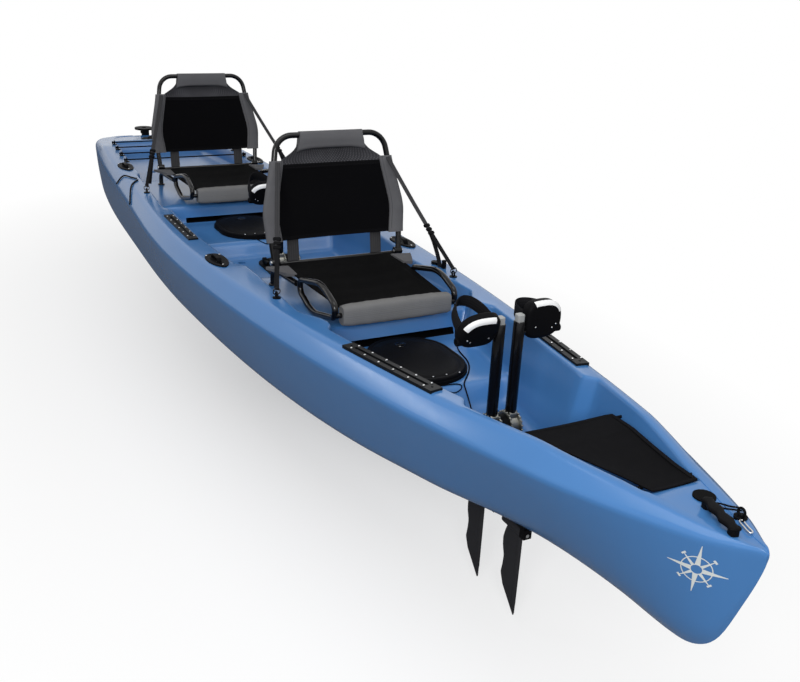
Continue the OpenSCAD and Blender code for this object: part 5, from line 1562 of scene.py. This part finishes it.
    def back_cloth(self, low: float, high: float, lift: float) -> Callable[[float, float], Vector]:
        """Returns the rule of a part of the back's cloth.

        Args:
            low: the height of its lower edge up the back.
            high: the height of its upper edge.
            lift: how far it lies ahead of the bowed surface.

        Returns:
            The rule for its middle surface.
        """

        def point(u: float, v: float) -> Vector:
            """Returns a point of the cloth."""
            h = mix(low, high, v)
            g = 2 * u - 1
            return self.back @ Vector((-self.back_bow * (1 - g ** 2) + lift, g * self.panel_half(h), h))

        return point

    def panel(self) -> None:
        """Makes the back's cloth: a black panel below a charcoal mesh band, with hems and stitches."""
        mesh = sheet(self.back_cloth(286, 356, -0.5), 18, 34, 2.4, (330, 70))
        band = self.piece(f"{self.word}_back_band", mesh, BAND_MESH, self.body, "mesh")
        cloth = sheet(self.back_cloth(66, 292, 0.4), 40, 34, 3.6, (410, 226))
        main_cloth = self.piece(f"{self.word}_back_cloth", cloth, PANEL_CLOTH, self.body, "black_fabric",
                                [f"{self.word}_back_panel"])
        tape = sheet(self.back_cloth(280, 294, 1.6), 3, 34, 3.4, (360, 14))
        tape.join(sheet(self.back_cloth(65, 76, 1.2), 3, 34, 4.4, (400, 12)))
        hem = self.piece(f"{self.word}_back_hems", tape, HEM_TAPE, self.body, "black_fabric")
        spots = []
        for low in (283.5, 290.5):
            seam = self.back_cloth(low, low + 1, 3.6)
            spots += [(seam(0.03 + 0.94 * i / 59, 0.5), self.back.col[0].xyz, PORT) for i in range(60)]
        self.row(f"{self.word}_band_stitches", RowShape.STITCH, spots, (4.0, 0.9, 0.8), THREAD, self.body,
                 "black_fabric")

    def sleeves(self) -> List[Spot]:
        """Makes the grey side sleeves of the back.

        Returns:
            The spots of their seams' stitches.
        """
        at = self.back
        mids = ((64, 215), (150, 224), (304, 190))
        spots = []
        for side, name in SIDES:
            rings = []
            lengths = []
            for i in range(41):
                f = i / 40
                h = mix(62, 306, f)
                mid = eased(lambda up: along_runs(up, mids), h, 24) - 6
                w = 23 * (1 - 0.16 * f)
                t = 12.6 + 0.5 * math.sin(23 * f) + 0.4 * math.sin(41 * f + 1)
                ring = []
                for a in around(24):
                    c, d = squared(a, 0.8, 0.9)
                    y = mid + w * d - (5 if d < -0.6 else 0)
                    ring.append(at @ Vector((t * c * (1 if d > -0.7 else 0.7), side * y, h)))
                rings.append(ring if side > 0 else ring[::-1])
                lengths.append(h)
                if 1 < i < 40:
                    seam = side * (mid - w + 2)
                    spots += [(at @ Vector((8.2, seam, h + up)), at.col[0].xyz, at.col[2].xyz)
                              for up in (1.5, 4.5)]
            made = self.piece(f"{self.word}_{name}_sleeve", loft(rings, False, lengths, 120), GREY_CLOTH,
                              self.body, "grey_fabric", [f"{self.word}_back_sleeves"], sharp=60)
        return spots

    def top_cover(self) -> None:
        """Makes the padded cover over the top of the back."""
        rings = []
        for i in range(31):
            g = i / 15 - 1
            drop = 6 + 10 * g ** 4
            ring = []
            for a in around(28):
                c, d = squared(a, 0.6, 0.7)
                h = self.back_h + (15 if d > 0 else 31 + drop) * d - 4
                wide = 104 + (10 * (-d) if d < 0 else 0)
                ring.append(self.back @ Vector((12.4 * c - (3 if d < -0.5 else 0), g * wide, h)))
            rings.append(ring[::-1])
        cover = loft(rings, False, [208 * i / 30 for i in range(31)], 130)
        made = self.piece(f"{self.word}_top_cover", cover, GREY_CLOTH, self.body, "grey_fabric", sharp=60)

    def back_strap(self, side: int, name: str) -> None:
        """Makes one slack strap from the back to its padeye, with its slide buckle and link.

        Args:
            side: -1 to starboard, 1 to port.
            name: the side's word.
        """
        start = f"{self.word}_{name}"
        x = self.s + self.strap_x
        top = self.back @ Vector((16.3, side * 184, 301))
        end = Vector((x, side * (self.lines.rim_y(x, 0.01) + 20), self.lines.deck_z(x) + 24.5))
        path = [mix(top, end, k / 30) - Vector((0, 0, 6 * math.sin(math.pi * k / 30))) for k in range(31)]
        upper = strap(path[:21], self.strap_w + 0.5, 2)
        lower = strap(path[19:], self.strap_w, 2)
        tail = [mix(path[18], path[20], 0.5) + Vector((0.4, 0, -2)), path[21] + Vector((4, 0, -16)),
                path[23] + Vector((3, side * 2, -42)), path[24] + Vector((0, side * 3, -62))]
        lower.join(strap(smooth_path(tail, 5), self.strap_w, 1.8))
        buckle = Form()
        for k, w in ((18, 24), (19, 22), (20, 24)):
            way = (path[k + 1] - path[k - 1]).normalized()
            bar = soft_prism(round_outline(11, w, 4), -3.6, 3.6, 1.5, 1.5)
            buckle.join(bar.placed(frame_at(path[k], way)))
        made = [self.object(f"{start}_strap", lower, WEBBING),
                self.object(f"{start}_upper_strap", upper, GREY_WEBBING),
                self.object(f"{start}_buckle", buckle, BLACK_MOULDING)]
        for thing in made:
            self.bridge(thing, self.body, end, top, [f"{self.word}_seat_straps"])
        link = [end + Vector((0, 10.5 * math.cos(a), 10 * math.sin(a) - 4)) for a in around(24)]
        self.piece(f"{start}_strap_link", tube(link, 3.0, 12, looped=True), TUBE_COAT, "hull", "steel")

    def stay(self, side: int, name: str) -> None:
        """Makes one webbing stay between the back's lower hem and the pan.

        Args:
            side: -1 to starboard, 1 to port.
            name: the side's word.
        """
        bow = -self.back_bow * (1 - (self.stay_y / 198) ** 2)
        high = self.back @ Vector((bow - 6.7, side * self.stay_y, 78))
        low = Vector((self.s - 17.3, side * self.stay_y, 343))
        form = strap([mix(high, low, k / 10) for k in range(11)], self.stay_w, 2)
        self.bridge(self.object(f"{self.word}_{name}_stay", form, GREY_WEBBING), self.body, low, high)

    def build(self) -> None:
        """Makes the whole seat."""
        self.frame_tubes()
        self.pan()
        self.front_roll()
        self.corner_pads()
        self.pan_seams()
        self.back_tube()
        self.panel()
        spots = self.sleeves()
        self.top_cover()
        self.row(f"{self.word}_sleeve_stitches", RowShape.STITCH, spots, (4.2, 0.9, 0.8), THREAD, self.body,
                 "grey_fabric")
        for side, name in SIDES:
            self.back_strap(side, name)
            self.stay(side, name)


@dataclass
class Drive(Workshop):
    """One pedal drive: two masts on sprockets, two pedals and two fins."""

    lines: HullLines
    word: str
    s: float
    lift: float
    axis_z: float = 196.0
    arm_l: float = 270.0
    mast_d: float = 26.0
    mast_r: float = 13.6
    mast_y: float = 26.5
    drum_in: float = 11.5
    drum_w: float = 30.0
    drum_r: float = 27.0
    flange_r: float = 34.0
    flange_t: float = 4.0
    bore_r: float = 7.1
    teeth: int = 22
    pin_drop: float = 34.0
    pedal_in: float = 41.5
    pedal_w: float = 98.0
    pedal_h: float = 92.0
    pedal_up: float = 26.0
    plate_x: float = -16.0
    leans: Pair = (-28.0, 0.0)
    rim_r: float = 11.0
    fin_c: float = 80.0
    fin_l: float = 240.0
    fin_top: float = 10.0
    fin_z: float = -18.0

    def __post_init__(self) -> None:
        """Works out the drive's frame."""
        self.origin = Matrix.Translation((self.s + self.lines.drive_off, 0, self.lift))

    def mast(self, side: int, name: str) -> None:
        """Makes one mast with its pin and its cap.

        Args:
            side: -1 to starboard, 1 to port.
            name: the side's word.
        """
        body = f"{self.word}_{name}_arm_body"
        y, top = side * self.mast_y, self.axis_z + self.arm_l
        r, low = self.mast_r, self.axis_z + 24
        made = spun([(r - 0.8, low), (r, low + 2), (r, top - 7), (r - 0.8, top - 5)], 28).moved(0, y, 0)
        pin = spun([(5, 0), (5, self.mast_d / 2 + 8 + self.pedal_w * 0.7)], 20)
        made.join(pin.placed(Matrix.Translation((0, y, top - self.pin_drop)) @ spin(-side * 90, "X")))
        self.piece(f"{self.word}_{name}_mast", made.placed(self.origin), TUBE_COAT, body, "black_plastic",
                   [f"{self.word}_{name}_arm"])
        cap = soft_prism(round_outline(19, 19, 5), top - 6, top + 12, 2).moved(0, y, 0)
        self.piece(f"{self.word}_{name}_mast_cap", cap.placed(self.origin), GREY_MOULDING, body,
                   "grey_plastic")

    def sprocket(self, side: int, name: str) -> None:
        """Makes one sprocket drum with its two rings of teeth.

        Args:
            side: -1 to starboard, 1 to port.
            name: the side's word.
        """
        body = f"{self.word}_{name}_arm_body"
        turn = Matrix.Translation((0, side * self.drum_in, self.axis_z)) @ spin(-side * 90, "X")
        wheel = Form()
        t, w, bore = self.flange_t, self.drum_w, self.bore_r
        for low, high, r in ((0, t, self.flange_r), (t, w - t, self.drum_r), (w - t, w, self.flange_r)):
            edge = r + 0.6
            wheel.join(spun([(bore, low), (r, low), (edge, low + 0.6), (edge, high - 0.6), (r, high),
                             (bore, high), (bore, low)], 40))
        block = soft_prism(round_outline(34, 30, 8), 5, 25, 2)
        wheel.join(block.placed(spin(side * 90, "Z") @ Matrix.Translation((-22, 0, 0))))
        self.piece(f"{self.word}_{name}_sprocket", wheel.placed(turn).placed(self.origin), SPROCKET_METAL,
                   body, "grey_plastic")
        whole = self.origin @ turn
        aim = whole.to_3x3()
        spots = []
        for level in (t / 2, w - t / 2):
            for a in around(self.teeth):
                out = polar(1, a)
                at = out * (self.flange_r + 1.4) + Vector((0, 0, level))
                spots.append((whole @ at, aim @ UP, aim @ out))
        self.row(f"{self.word}_{name}_teeth", RowShape.LINK, spots, (5.2, 4.2, 4.0), SPROCKET_METAL, body,
                 "grey_plastic")

    def sole(self, side: int, a: float) -> Vector:
        """Returns a point of a pedal's outline, straighter inboard, at an angle from its top towards port."""
        power = 0.55 if math.sin(a) * side < 0 else 0.85
        c, d = squared(a, power, power)
        return Vector((0, d * self.pedal_w / 2, c * self.pedal_h / 2))

    def strip(self, side: int) -> Form:
        """Returns the bright strip over a pedal's rounded top edge."""
        slopes = [math.radians(v) for v in (8, 28, 48, 66, 82)]
        rings = []
        for k in range(25):
            t = side * math.radians(-24 + 92 * k / 24)
            p = self.sole(side, t)
            run = self.sole(side, t + 0.02) - self.sole(side, t - 0.02)
            n = Vector((0, -run.z, run.y)).normalized()
            n = n if n.dot(p) > 0 else -n
            core = p - n * self.rim_r + Vector((11.5 - self.rim_r, 0, self.pedal_up))
            ways = [n * math.cos(q) + Vector((math.sin(q), 0, 0)) for q in slopes]
            outer = [core + w * (self.rim_r + 0.7) for w in ways]
            rings.append(outer + [core + w * 8 for w in reversed(ways)])
        return loft(rings)

    def pedal(self, side: int, name: str) -> None:
        """Makes one pedal: a domed foot plate on a sleeve, with its strip and strap.

        Args:
            side: -1 to starboard, 1 to port.
            name: the side's word.
        """
        start = f"{self.word}_{name}"
        body = f"{start}_pedal_body"
        pin = (0, side * (self.pedal_in + self.pedal_w / 2), self.axis_z + self.arm_l - self.pin_drop)
        at = self.origin @ Matrix.Translation(pin) @ spin(-self.leans[0 if side < 0 else 1], "Y")
        outline = [self.sole(side, -a) for a in around(64)]
        plate = soft_prism([Vector((-p.z, p.y, 0)) for p in outline], 0, 27.5, self.rim_r, 3)
        made = plate.placed(Matrix.Translation((self.plate_x, 0, self.pedal_up)) @ spin(90, "Y"))
        sleeve = spun([(5.1, -42), (9.2, -42), (10, -41), (10, 48), (9.2, 49), (5.1, 49), (5.1, -42)], 28)
        made.join(sleeve.placed(spin(-side * 90, "X")))
        self.piece(f"{start}_pedal_plate", made.placed(at), BLACK_MOULDING, body, "black_plastic",
                   [f"{start}_pedal"])
        self.piece(f"{start}_strip", self.strip(side).placed(at), REFLECTIVE, body, "black_plastic", sharp=60)
        loop = [Vector((self.plate_x - 0.3 - 76 * math.sin(t), 43 * math.cos(t), self.pedal_up + 4))
                for t in [math.pi * k / 24 for k in range(25)]]
        self.piece(f"{start}_foot_strap", strap(loop, 34, 3, UP).placed(at), WEBBING, body, "webbing")
        spots = []
        aim = at.to_3x3()
        for y, z in ((side * 30, -12), (side * 20, -20), (side * -26, -14)):
            spots.append((at @ Vector((11.8, y, z + self.pedal_up)), aim @ AHEAD, aim @ PORT))
        self.row(f"{start}_rivets", RowShape.SCREW, spots, (5, 5, 1.4), STAINLESS, body, "steel")

    def fin(self, off: float, name: str) -> None:
        """Makes one flexible fin with its hub and mast.

        Args:
            off: its place ahead of the drive's middle.
            name: its word.
        """
        levels = 30
        edge_front = ((10, 0.42), (192, 0.46), (232, 0.45), (240, 0.42))
        edge_back = ((10, -0.3), (34, -0.42), (58, -0.5), (80, -0.48), (106, -0.38), (130, -0.4),
                     (158, -0.46), (187, -0.3), (239, 0.34), (240, 0.36))
        rings = []
        for i in range(levels + 1):
            z = mix(self.fin_top, self.fin_l, i / levels)
            xa, xb = along_runs(z, edge_front) * self.fin_c, along_runs(z, edge_back) * self.fin_c
            thick = mix(7.0, 3.0, i / levels)
            ring = []
            for a in around(20):
                s = (1 + math.cos(a)) / 2
                foil = thick / 2 * math.sin(a) * (0.55 + 0.45 * s)
                ring.append(Vector((mix(xb, xa, s), foil, -z)))
            rings.append(ring)
        made = loft(rings)
        made.join(spun([(3, -216), (4.6, -210), (5, -100), (5, 0)], 18).moved(0.37 * self.fin_c, 0, 0))
        hub = spun([(4.6, -37), (12, -37), (13, -36), (13, 36), (12, 37), (4.6, 37), (4.6, -37)], 32)
        made.join(hub.placed(spin(90, "Y")))
        at = self.origin @ Matrix.Translation((off, 0, self.fin_z))
        self.piece(f"{self.word}_{name}_fin_blade", made.placed(at), FIN_RUBBER,
                   f"{self.word}_{name}_fin_body", "fin_rubber", [f"{self.word}_{name}_fin"])

    def leash(self) -> None:
        """Makes the drive's leash: a limp cord from the seat's front bar, round the lid to the drive."""
        shelf = self.lines.hatch_shelf_z + 2.2
        route = ((425, 181, 321), (435, 181, 310), (447, 178, 286), (462, 172, 250), (484, 163, shelf + 16),
                 (510, 156, shelf + 2.5), (540, 150, shelf), (580, 143, shelf), (618, 129, shelf),
                 (652, 108, shelf), (684, 82, shelf), (706, 63, shelf), (724, 51, shelf - 0.5),
                 (750, 42, shelf - 6), (776, 35, 190), (800, 29, 178), (820, 24, 170), (836, 21, 165))
        path = smooth_path([Vector((self.s + x, y, z)) for x, y, z in route], 3)
        clip = soft_prism(round_outline(34, 15, 6), 155, 167, 3, 1).moved(self.s + 846, 19, 0)
        hook = self.piece(f"{self.word}_leash_clip", clip, BLACK_MOULDING, "hull", "black_plastic")
        self.cord(f"{self.word}_drive_leash", path, 4.0, "fitting", lay="loose", with_pieces=[hook])

    def build(self) -> None:
        """Makes the whole drive."""
        for side, name in SIDES:
            self.mast(side, name)
            self.sprocket(side, name)
            self.pedal(side, name)
        self.fin(98.0, "fore")
        self.fin(-70.0, "aft")
        self.leash()


@dataclass
class Hatch(Workshop):
    """One hatch: a low domed lid over its rim and bucket."""

    lines: HullLines
    word: str
    s: float
    l: float = 304.0
    w: float = 244.0
    r: float = 118.0
    pull_in: float = 58.0
    screw_in: float = 16.0
    tether_d: float = 3.2

    def build(self) -> None:
        """Makes the lid with its pull and screws, and its tether."""
        body = f"{self.word}_lid"
        at = Matrix.Translation((self.s + self.lines.hatch_off, 0, self.lines.hatch_shelf_z))
        dome = ((54, 3.4), (54, 9.3), (0, 9.3), (0, 14.5), (0.8, 16.6), (2.6, 17.9), (5, 18.3), (9, 18.0),
                (10.5, 17.2), (14, 17.2), (15.5, 18.0), (40, 18.2), (80, 18.3))
        lid = stacked(round_outline(self.l, self.w, self.r, 12), dome)
        self.piece(f"{self.word}_lid_dome", lid.placed(at), BLACK_MOULDING, body, "black_plastic",
                   [f"{self.word}_hatch_lid"])
        pull = spun([(12, 0), (16.5, 0), (17, 0.5), (16.5, 1.6), (12, 1.6), (12, 0)], 36)
        pull.join(soft_prism(round_outline(8, 30, 3.5), 0, 2.2, 1))
        pull = pull.moved(self.pull_in - self.l / 2, 0, 18.1)
        self.piece(f"{self.word}_lid_pull", pull.placed(at), TUBE_COAT, body, "black_plastic")
        spots = [spot_on(at, self.l / 2 - self.screw_in, y, 18.6) for y in (-60, -20, 20, 60)]
        self.row(f"{self.word}_lid_screws", RowShape.SCREW, spots, (5.5, 5.5, 1.4), STAINLESS, body, "steel")
        route = ((700, -40), (706, -20), (708, 6), (710, 32), (716, 46), (724, 42), (728, 22), (724, 2),
                 (714, -14), (701, -22))
        path = [Vector((self.s + x, y, self.lines.floor_z(self.s + x) + 2.2)) for x, y in route]
        self.cord(f"{self.word}_lid_tether", smooth_path(path, 4), self.tether_d, "object", lay="loose")


@dataclass
class RudderBlade(Workshop):
    """The steering blade: a thin foil below a hub that turns on its pin."""

    pin: Triple = (-2302.0, 0.0, 196.0)
    thick: float = 7.8
    hub_r: float = 15.0
    bore_r: float = 4.05
    top: float = -9.0
    drop: float = 330.0
    levels: int = 44
    nose: ShapeCurve = ShapeCurve((
        (-330, -34), (-326, -22), (-312, -9), (-280, 1), (-231, 6), (-120, 12), (-40, 15.4), (-20, 15.2),
        (-9, 12.5)))
    tail: ShapeCurve = ShapeCurve((
        (-330, -46), (-327, -56), (-316, -70), (-280, -87), (-231, -102), (-181, -111), (-130, -105),
        (-79, -88), (-45, -57), (-22, -28), (-9, -12.5)))

    def foil(self) -> Form:
        """Returns the blade below the hub, lens-shaped in section."""
        rings = []
        for i in range(self.levels + 1):
            z = mix(self.top, -self.drop, math.sin(math.pi / 2 * i / self.levels))
            front, back = self.nose.at(z), self.tail.at(z)
            half = self.thick / 2 * max(clamp((z + self.drop) / 30, 0, 1) ** 0.5, 0.12)
            rings.append([Vector((mix(back, front, 0.5 + 0.5 * math.cos(a)), half * math.sin(a), z))
                          for a in around(28)])
        return loft(rings)

    def hub(self) -> Form:
        """Returns the ring round the pin."""
        half, r, bore = self.thick / 2, self.hub_r, self.bore_r
        profile = ((bore, -half), (r - 1, -half), (r, 1 - half), (r, half - 1), (r - 1, half), (bore, half))
        rings = []
        for reach, y in profile:
            rings.append([Vector((reach * math.cos(a), y, reach * math.sin(a))) for a in around(40)])
        return loft(rings, looped=True)

    def build(self) -> None:
        """Builds the blade on its body."""
        form = self.foil().join(self.hub()).moved(*self.pin)
        self.piece("rudder_foil", form, FIN_RUBBER, "rudder_blade_body", "black_plastic", ["rudder_blade"])


@dataclass(frozen=True)
class Softbox:
    """A soft rectangular lamp: its place, what it faces, its size in metres and its power in watts."""

    name: str
    at: Triple
    to: Triple
    size: Pair
    power: float

    def build(self) -> None:
        """Sets the lamp."""
        data = bpy.data.lights.new(self.name, "AREA")
        data.shape = "RECTANGLE"
        data.size, data.size_y = self.size
        data.energy = self.power
        lamp = bpy.data.objects.new(self.name, data)
        lamp.location = self.at
        lamp.rotation_euler = (Vector(self.to) - Vector(self.at)).to_track_quat("-Z", "Y").to_euler()
        bpy.context.scene.collection.objects.link(lamp)


@dataclass
class Studio:
    """The pale floor, the soft lamps and the camera at the photograph's viewing angle."""

    eye: Triple = (3.067, -1.153, 1.234)
    azimuth: float = 152.06
    elevation: float = -22.14
    roll: float = 2.77
    focal_px: float = 939.0
    image_w: float = 800.0
    sensor: float = 36.0
    floor_z: float = -0.275
    floor_r: float = 16.0
    floor_fade: Pair = (3.4, 1.7)
    floor_shadow: float = 0.6
    fill: float = 0.24
    lamps: Tuple[Softbox, ...] = (
        Softbox("top_softbox", (1.8, -0.3, 4.0), (0.8, 0, 0), (4.2, 2.4), 76),
        Softbox("bow_softbox", (4.6, -2.3, 2.3), (2.0, 0, 0.2), (2.2, 1.4), 134),
        Softbox("side_softbox", (-1.6, -3.0, 2.4), (0.6, -0.3, 0.3), (1.5, 0.4), 14),
        Softbox("back_softbox", (-3.8, 2.6, 3.0), (-0.8, 0, 0.3), (2.4, 1.6), 10))

    def camera(self) -> None:
        """Sets the camera."""
        data = bpy.data.cameras.new("photo_camera")
        data.sensor_fit = "HORIZONTAL"
        data.sensor_width = self.sensor
        data.lens = self.focal_px / self.image_w * self.sensor
        data.clip_end = 100
        az, el, roll = (math.radians(v) for v in (self.azimuth, self.elevation, self.roll))
        ahead = Vector((math.cos(el) * math.cos(az), math.cos(el) * math.sin(az), math.sin(el)))
        right = ahead.cross(UP).normalized()
        up = right.cross(ahead)
        turned = math.cos(roll) * right + math.sin(roll) * up
        upright = -math.sin(roll) * right + math.cos(roll) * up
        camera = bpy.data.objects.new("photo_camera", data)
        rows = [(turned[i], upright[i], -ahead[i], self.eye[i]) for i in range(3)]
        camera.matrix_world = Matrix((*rows, (0, 0, 0, 1)))
        bpy.context.scene.collection.objects.link(camera)
        bpy.context.scene.camera = camera

    def seen_rays(self, tree: bpy.types.NodeTree, others: Sequence[str]) -> Socket:
        """Finds the rays that see the backdrop.

        Args:
            tree: the node tree.
            others: the rays that count beside those from the camera.

        Returns:
            A socket that is 1 on them.
        """
        path = add_node(tree, "ShaderNodeLightPath", {}).outputs
        seen = path["Is Camera Ray"]
        for ray in others:
            seen = add_node(tree, "ShaderNodeMath", {0: seen, 1: path[ray]}, operation="MAXIMUM").outputs[0]
        return seen

    def world(self) -> None:
        """Lights the scene evenly, with a white backdrop behind it."""
        world = bpy.data.worlds.new("studio_world")
        world.use_nodes = True
        tree = world.node_tree
        light = tree.nodes["Background"]
        light.inputs["Color"].default_value = (1, 1, 1, 1)
        light.inputs["Strength"].default_value = self.fill
        white = add_node(tree, "ShaderNodeBackground", {"Color": (1, 1, 1, 1), "Strength": 1.0})
        seen = self.seen_rays(tree, ("Is Glossy Ray", "Is Transmission Ray"))
        both = add_node(tree, "ShaderNodeMixShader", {0: seen, 1: light.outputs[0], 2: white.outputs[0]})
        tree.links.new(both.outputs[0], tree.nodes["World Output"].inputs["Surface"])
        bpy.context.scene.world = world

    def floor_material(self) -> bpy.types.Material:
        """Returns the floor's material: pale and shadowed near the boat, fading to the white backdrop."""
        material = bpy.data.materials.new("studio_floor")
        material.use_nodes = True
        tree = material.node_tree
        tree.nodes.remove(tree.nodes["Principled BSDF"])
        near = add_node(tree, "ShaderNodeBsdfDiffuse", {"Color": (0.97, 0.97, 0.97, 1)}).outputs[0]
        dim = add_node(tree, "ShaderNodeBsdfDiffuse", {"Color": (0.3, 0.3, 0.3, 1)}).outputs[0]
        white = add_node(tree, "ShaderNodeEmission", {}).outputs[0]
        place = add_node(tree, "ShaderNodeTexCoord", {}).outputs["Object"]
        scale = (1 / self.floor_fade[0], 1 / self.floor_fade[1], 0)
        shrunk = add_node(tree, "ShaderNodeMapping", {"Scale": scale, "Vector": place}).outputs["Vector"]
        ball = add_node(tree, "ShaderNodeTexGradient", {"Vector": shrunk}, gradient_type="SPHERICAL")
        soft = add_node(tree, "ShaderNodeMath", {0: ball.outputs["Fac"], 1: self.floor_shadow},
                        operation="MULTIPLY").outputs[0]
        shown = add_node(tree, "ShaderNodeMixShader", {0: soft, 1: white, 2: near}).outputs[0]
        seen = self.seen_rays(tree, ("Is Transmission Ray",))
        both = add_node(tree, "ShaderNodeMixShader", {0: seen, 1: dim, 2: shown})
        tree.links.new(both.outputs[0], tree.nodes["Material Output"].inputs["Surface"])
        return material

    def floor(self) -> None:
        """Lays the round floor below the fins."""
        mesh = bpy.data.meshes.new("studio_floor")
        ring = [polar(self.floor_r, a) + UP * self.floor_z for a in around(64)]
        mesh.from_pydata(ring, [], [tuple(range(len(ring)))])
        mesh.materials.append(self.floor_material())
        floor = bpy.data.objects.new("studio_floor", mesh)
        bpy.context.scene.collection.objects.link(floor)

    def build(self) -> None:
        """Sets the view, the floor, the lamps and the camera."""
        bpy.context.scene.view_settings.view_transform = "Standard"
        self.camera()
        self.world()
        self.floor()
        for lamp in self.lamps:
            lamp.build()


def dress_nodes(frame: Dict[str, Any]) -> None:
    """Gives every CAD node that still shows its finish.

    Args:
        frame: the loaded frame.
    """
    for finish, names in CAD_FINISHES.items():
        for name in names:
            materials = frame["nodes"][name].data.materials
            materials.clear()
            materials.append(finish.material())
            LOG.info("%s keeps its solid, finished in %s", name, finish.name)


def main() -> None:
    """Builds the kayak's pieces in order."""
    logging.basicConfig(level=logging.INFO, format="%(name)s: %(message)s")
    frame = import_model()
    Studio().build()
    lines = HullLines()
    skin = HullShell(lines).build()
    CompassStar().build(skin)
    DeckGear(lines).build()
    for word, s, lift in (("front", lines.front_seat, 20.0), ("rear", lines.rear_seat, 0.0)):
        Seat(lines, word, s).build()
        Drive(lines, word, s, lift).build()
        Hatch(lines, word, s).build()
    RudderBlade().build()
    dress_nodes(frame)
    bpy.context.view_layer.update()


if __name__ == "__main__":
    main()
